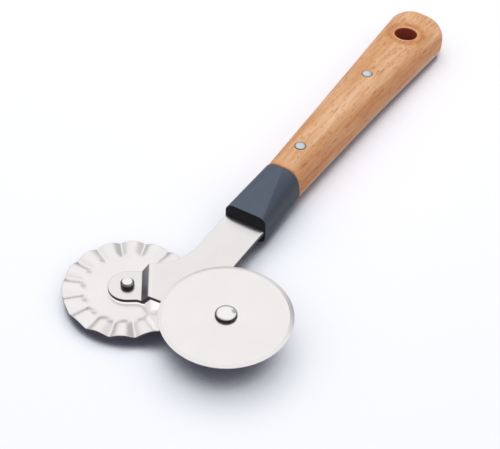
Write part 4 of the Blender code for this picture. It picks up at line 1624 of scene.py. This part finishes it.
@dataclass
class Studio:
    """Pale floor, soft light from above and behind, and the photograph's camera."""

    azimuth: float = math.radians(30.0228)
    elevation: float = math.radians(43.8849)
    roll: float = math.radians(1.6542)
    distance: float = 0.478054
    aim: Point = (0.00183184, -0.03984666, 0.0094)
    focal_pixels: float = 1340.378
    photo_width: float = 500.0
    sensor: float = 36.0
    nearest: float = 0.01
    floor_side: float = 3.0
    floor_drop: float = 0.00005
    floor_bounce: Colour = (0.70, 0.70, 0.71)
    floor_mirrored: Colour = (0.90, 0.90, 0.92)
    floor_seen: Colour = (1.01, 1.02, 1.07)
    # Painted shadow: a paler bluish tint where the tool is fairly near.
    painted_halo_colour: Colour = (1.06, 1.10, 1.20)
    halo_open: Span = (0.45, 0.95)
    # Painted shadow from ambient occlusion: its reach, its leaning direction, its openness span,
    # its dark colour, and a span along Y that keeps it lighter under the handle.
    contact_reach: float = 0.10
    contact_side: Point = (-0.15, 0.35, 0.925)
    contact_open: Span = (0.33, 0.52)
    painted_shadow_colour: Colour = (0.175, 0.18, 0.245)
    handle_contact: Span = (-0.045, -0.015, 0.0, 0.38)
    sky_level: float = 0.88
    sky_rise: Span = (0.15, 0.65, 0.12, 1.0)
    room_rise: Span = (0.05, 0.42)
    room_near: Span = (-0.75, 0.05, 0.45, 1.0)
    room_left: Span = (-0.93, -0.76, 0.3, 1.0)
    room_band: Span = (0.955, 0.995, 1.0, 0.32)
    band_side: Point = (0.035, 0.852, 0.522)
    room_least: float = 0.12
    lamp_spot: Point = (-0.16, 0.20, 0.80)
    lamp_side: float = 0.70
    lamp_power: float = 2.1
    lamp_colour: Colour = (1.0, 0.995, 0.985)

    def camera(self) -> None:
        """Create the camera where the photograph was taken from."""
        a, e = self.azimuth, self.elevation
        back = np.array([math.sin(a) * math.cos(e), -math.cos(a) * math.cos(e), math.sin(e)])
        right = np.array([math.cos(a), math.sin(a), 0.0])
        up = np.cross(back, right)
        turned_right = right * math.cos(self.roll) + up * math.sin(self.roll)
        turned_up = up * math.cos(self.roll) - right * math.sin(self.roll)
        data = bpy.data.cameras.new("camera")
        data.sensor_width = self.sensor
        data.lens = self.focal_pixels * self.sensor / self.photo_width
        data.clip_start = self.nearest
        camera = bpy.data.objects.new("camera", data)
        stand(camera, (turned_right, turned_up, back), np.array(self.aim) + back * self.distance)
        bpy.context.scene.camera = camera

    def floor(self) -> None:
        """Lay the floor: it looks white where nothing shades it and keeps the lamp's shadow; to the
        camera it also gets painted shadow from ambient occlusion, with a paler bluish painted halo
        round it.
        """
        half = self.floor_side / 2
        mesh = bpy.data.meshes.new("floor")
        mesh.from_pydata([(x * half, y * half, -self.floor_drop)
                          for x, y in ((-1, -1), (1, -1), (1, 1), (-1, 1))], [], [(0, 1, 2, 3)])
        material = bpy.data.materials.new("pale_floor")
        material.use_nodes = True
        graph = Graph(material.node_tree)
        graph.tree.nodes.remove(graph.tree.nodes["Principled BSDF"])
        path = graph.node("LightPath").outputs
        direct = graph.math("LESS_THAN", path["Diffuse Depth"], 0.5)
        mirrored = graph.math("MAXIMUM", path["Is Glossy Ray"], path["Is Transmission Ray"])
        colour = graph.mix(graph.times(mirrored, direct), self.floor_bounce, self.floor_mirrored)
        # Painted shadow, which only the camera sees, from ambient occlusion: dark where the tool is
        # near, bluish where it is fairly near.
        lean = graph.vector(*self.contact_side)
        nearness = graph.node("AmbientOcclusion", {"Distance": self.contact_reach,
                                                   "Normal": lean}, samples=24).outputs["AO"]
        along = graph.parts(graph.node("TexCoord").outputs["Object"])[1]
        contact = graph.math("MAXIMUM", graph.span(nearness, *self.contact_open),
                             graph.span(along, *self.handle_contact))
        seen = graph.mix(graph.span(nearness, *self.halo_open), self.painted_halo_colour, self.floor_seen)
        seen = graph.mix(contact, self.painted_shadow_colour, seen)
        colour = graph.mix(path["Is Camera Ray"], colour, seen)
        matt = graph.node("BsdfDiffuse", {"Color": colour}).outputs[0]
        graph.fill(graph.tree.nodes["Material Output"], {0: matt})
        mesh.materials.append(material)
        floor = bpy.data.objects.new("floor", mesh)
        bpy.context.collection.objects.link(floor)

    def sky(self) -> None:
        """Light the room with a soft dome, which is brighter above.

        Gloss sees a bright room with a dark horizon, dimmer towards the camera and at
        the far left, and a grey band behind. The camera sees white.
        """
        world = bpy.data.worlds.new("studio")
        bpy.context.scene.world = world
        world.use_nodes = True
        graph = Graph(world.node_tree)
        path = graph.node("LightPath").outputs
        toward = graph.node("TexCoord").outputs["Generated"]
        across, along, height = graph.parts(toward)
        band = graph.node("VectorMath", {0: toward, 1: self.band_side},
                          operation="DOT_PRODUCT").outputs["Value"]
        bright = graph.times(graph.span(height, *self.room_rise),
                             graph.span(along, *self.room_near),
                             graph.span(across, *self.room_left),
                             graph.span(band, *self.room_band))
        gloss = graph.math("MULTIPLY_ADD", bright, 1.0 - self.room_least, self.room_least)
        dome = graph.times(graph.span(height, *self.sky_rise), self.sky_level)
        direct = graph.math("LESS_THAN", path["Diffuse Depth"], 0.5)
        mirrored = graph.times(path["Is Glossy Ray"], direct)
        seen = graph.math("MAXIMUM", path["Is Camera Ray"], path["Is Transmission Ray"])
        light = graph.math("ADD", graph.times(gloss, mirrored),
                           graph.times(dome, graph.math("SUBTRACT", 1.0, mirrored)))
        light = graph.math("ADD", graph.times(light, graph.math("SUBTRACT", 1.0, seen)), seen)
        graph.fill(graph.tree.nodes["Background"], {"Strength": light, "Color": (1.0, 1.0, 1.0)})

    def lamp(self) -> None:
        """Hang a square soft lamp that faces the middle of the tool."""
        data = bpy.data.lights.new("soft_key", "AREA")
        data.shape = "SQUARE"
        data.size = self.lamp_side
        data.energy = self.lamp_power
        data.color = self.lamp_colour
        lamp = bpy.data.objects.new("soft_key", data)
        spot = np.array(self.lamp_spot)
        back = spot / np.linalg.norm(spot)
        right = np.cross((0.0, 1.0, 0.0), back)
        right /= np.linalg.norm(right)
        lamp.visible_glossy = False
        stand(lamp, (right, np.cross(back, right), back), spot)

    def build(self) -> None:
        """Build the studio."""
        self.floor()
        self.sky()
        self.lamp()
        self.camera()
        bpy.context.scene.view_settings.view_transform = "Standard"


def corners(box: tuple) -> list[list[float]]:
    """Return a box's two corners as plain lists."""
    return [[float(value) for value in corner] for corner in box]


def main() -> None:
    """Build every piece in order."""
    logging.basicConfig(level=logging.INFO, format="%(message)s")
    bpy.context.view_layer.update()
    layout = Layout()
    handle = Handle(layout, "wooden_handle", "frame", "handle", "beech")
    pieces = [
        handle,
        Ferrule(layout, "moulded_ferrule", "frame", "ferrule", "slate_plastic"),
        ForkPlate(layout, "steel_fork", "frame", "fork_plate", "satin_steel"),
        PlainWheel(layout, "plain_cutting_wheel", "plain_wheel", "plain_wheel", "wheel_steel"),
        FlutedWheel(layout, "fluted_crimping_wheel", "fluted_wheel", "fluted_wheel",
                    "wheel_steel")]
    for node, side in (("plain_wheel_rivet", 1), ("fluted_wheel_rivet", -1)):
        pieces.append(WheelRivet(layout, "shouldered_" + node, "frame", node, "rivet_steel", side))
    for node, y in (("front_handle_pin", layout.front_pin_y),
                    ("rear_handle_pin", layout.rear_pin_y)):
        top = float(handle.size(np.array([y]))[1][0])
        pieces.append(HandlePin(layout, "aluminium_" + node, "frame", node, "pin_aluminium", y,
                                top))
    effects = Effects()
    for piece in pieces:
        piece.build(effects)
    Studio().build()


if __name__ == "__main__":
    main()
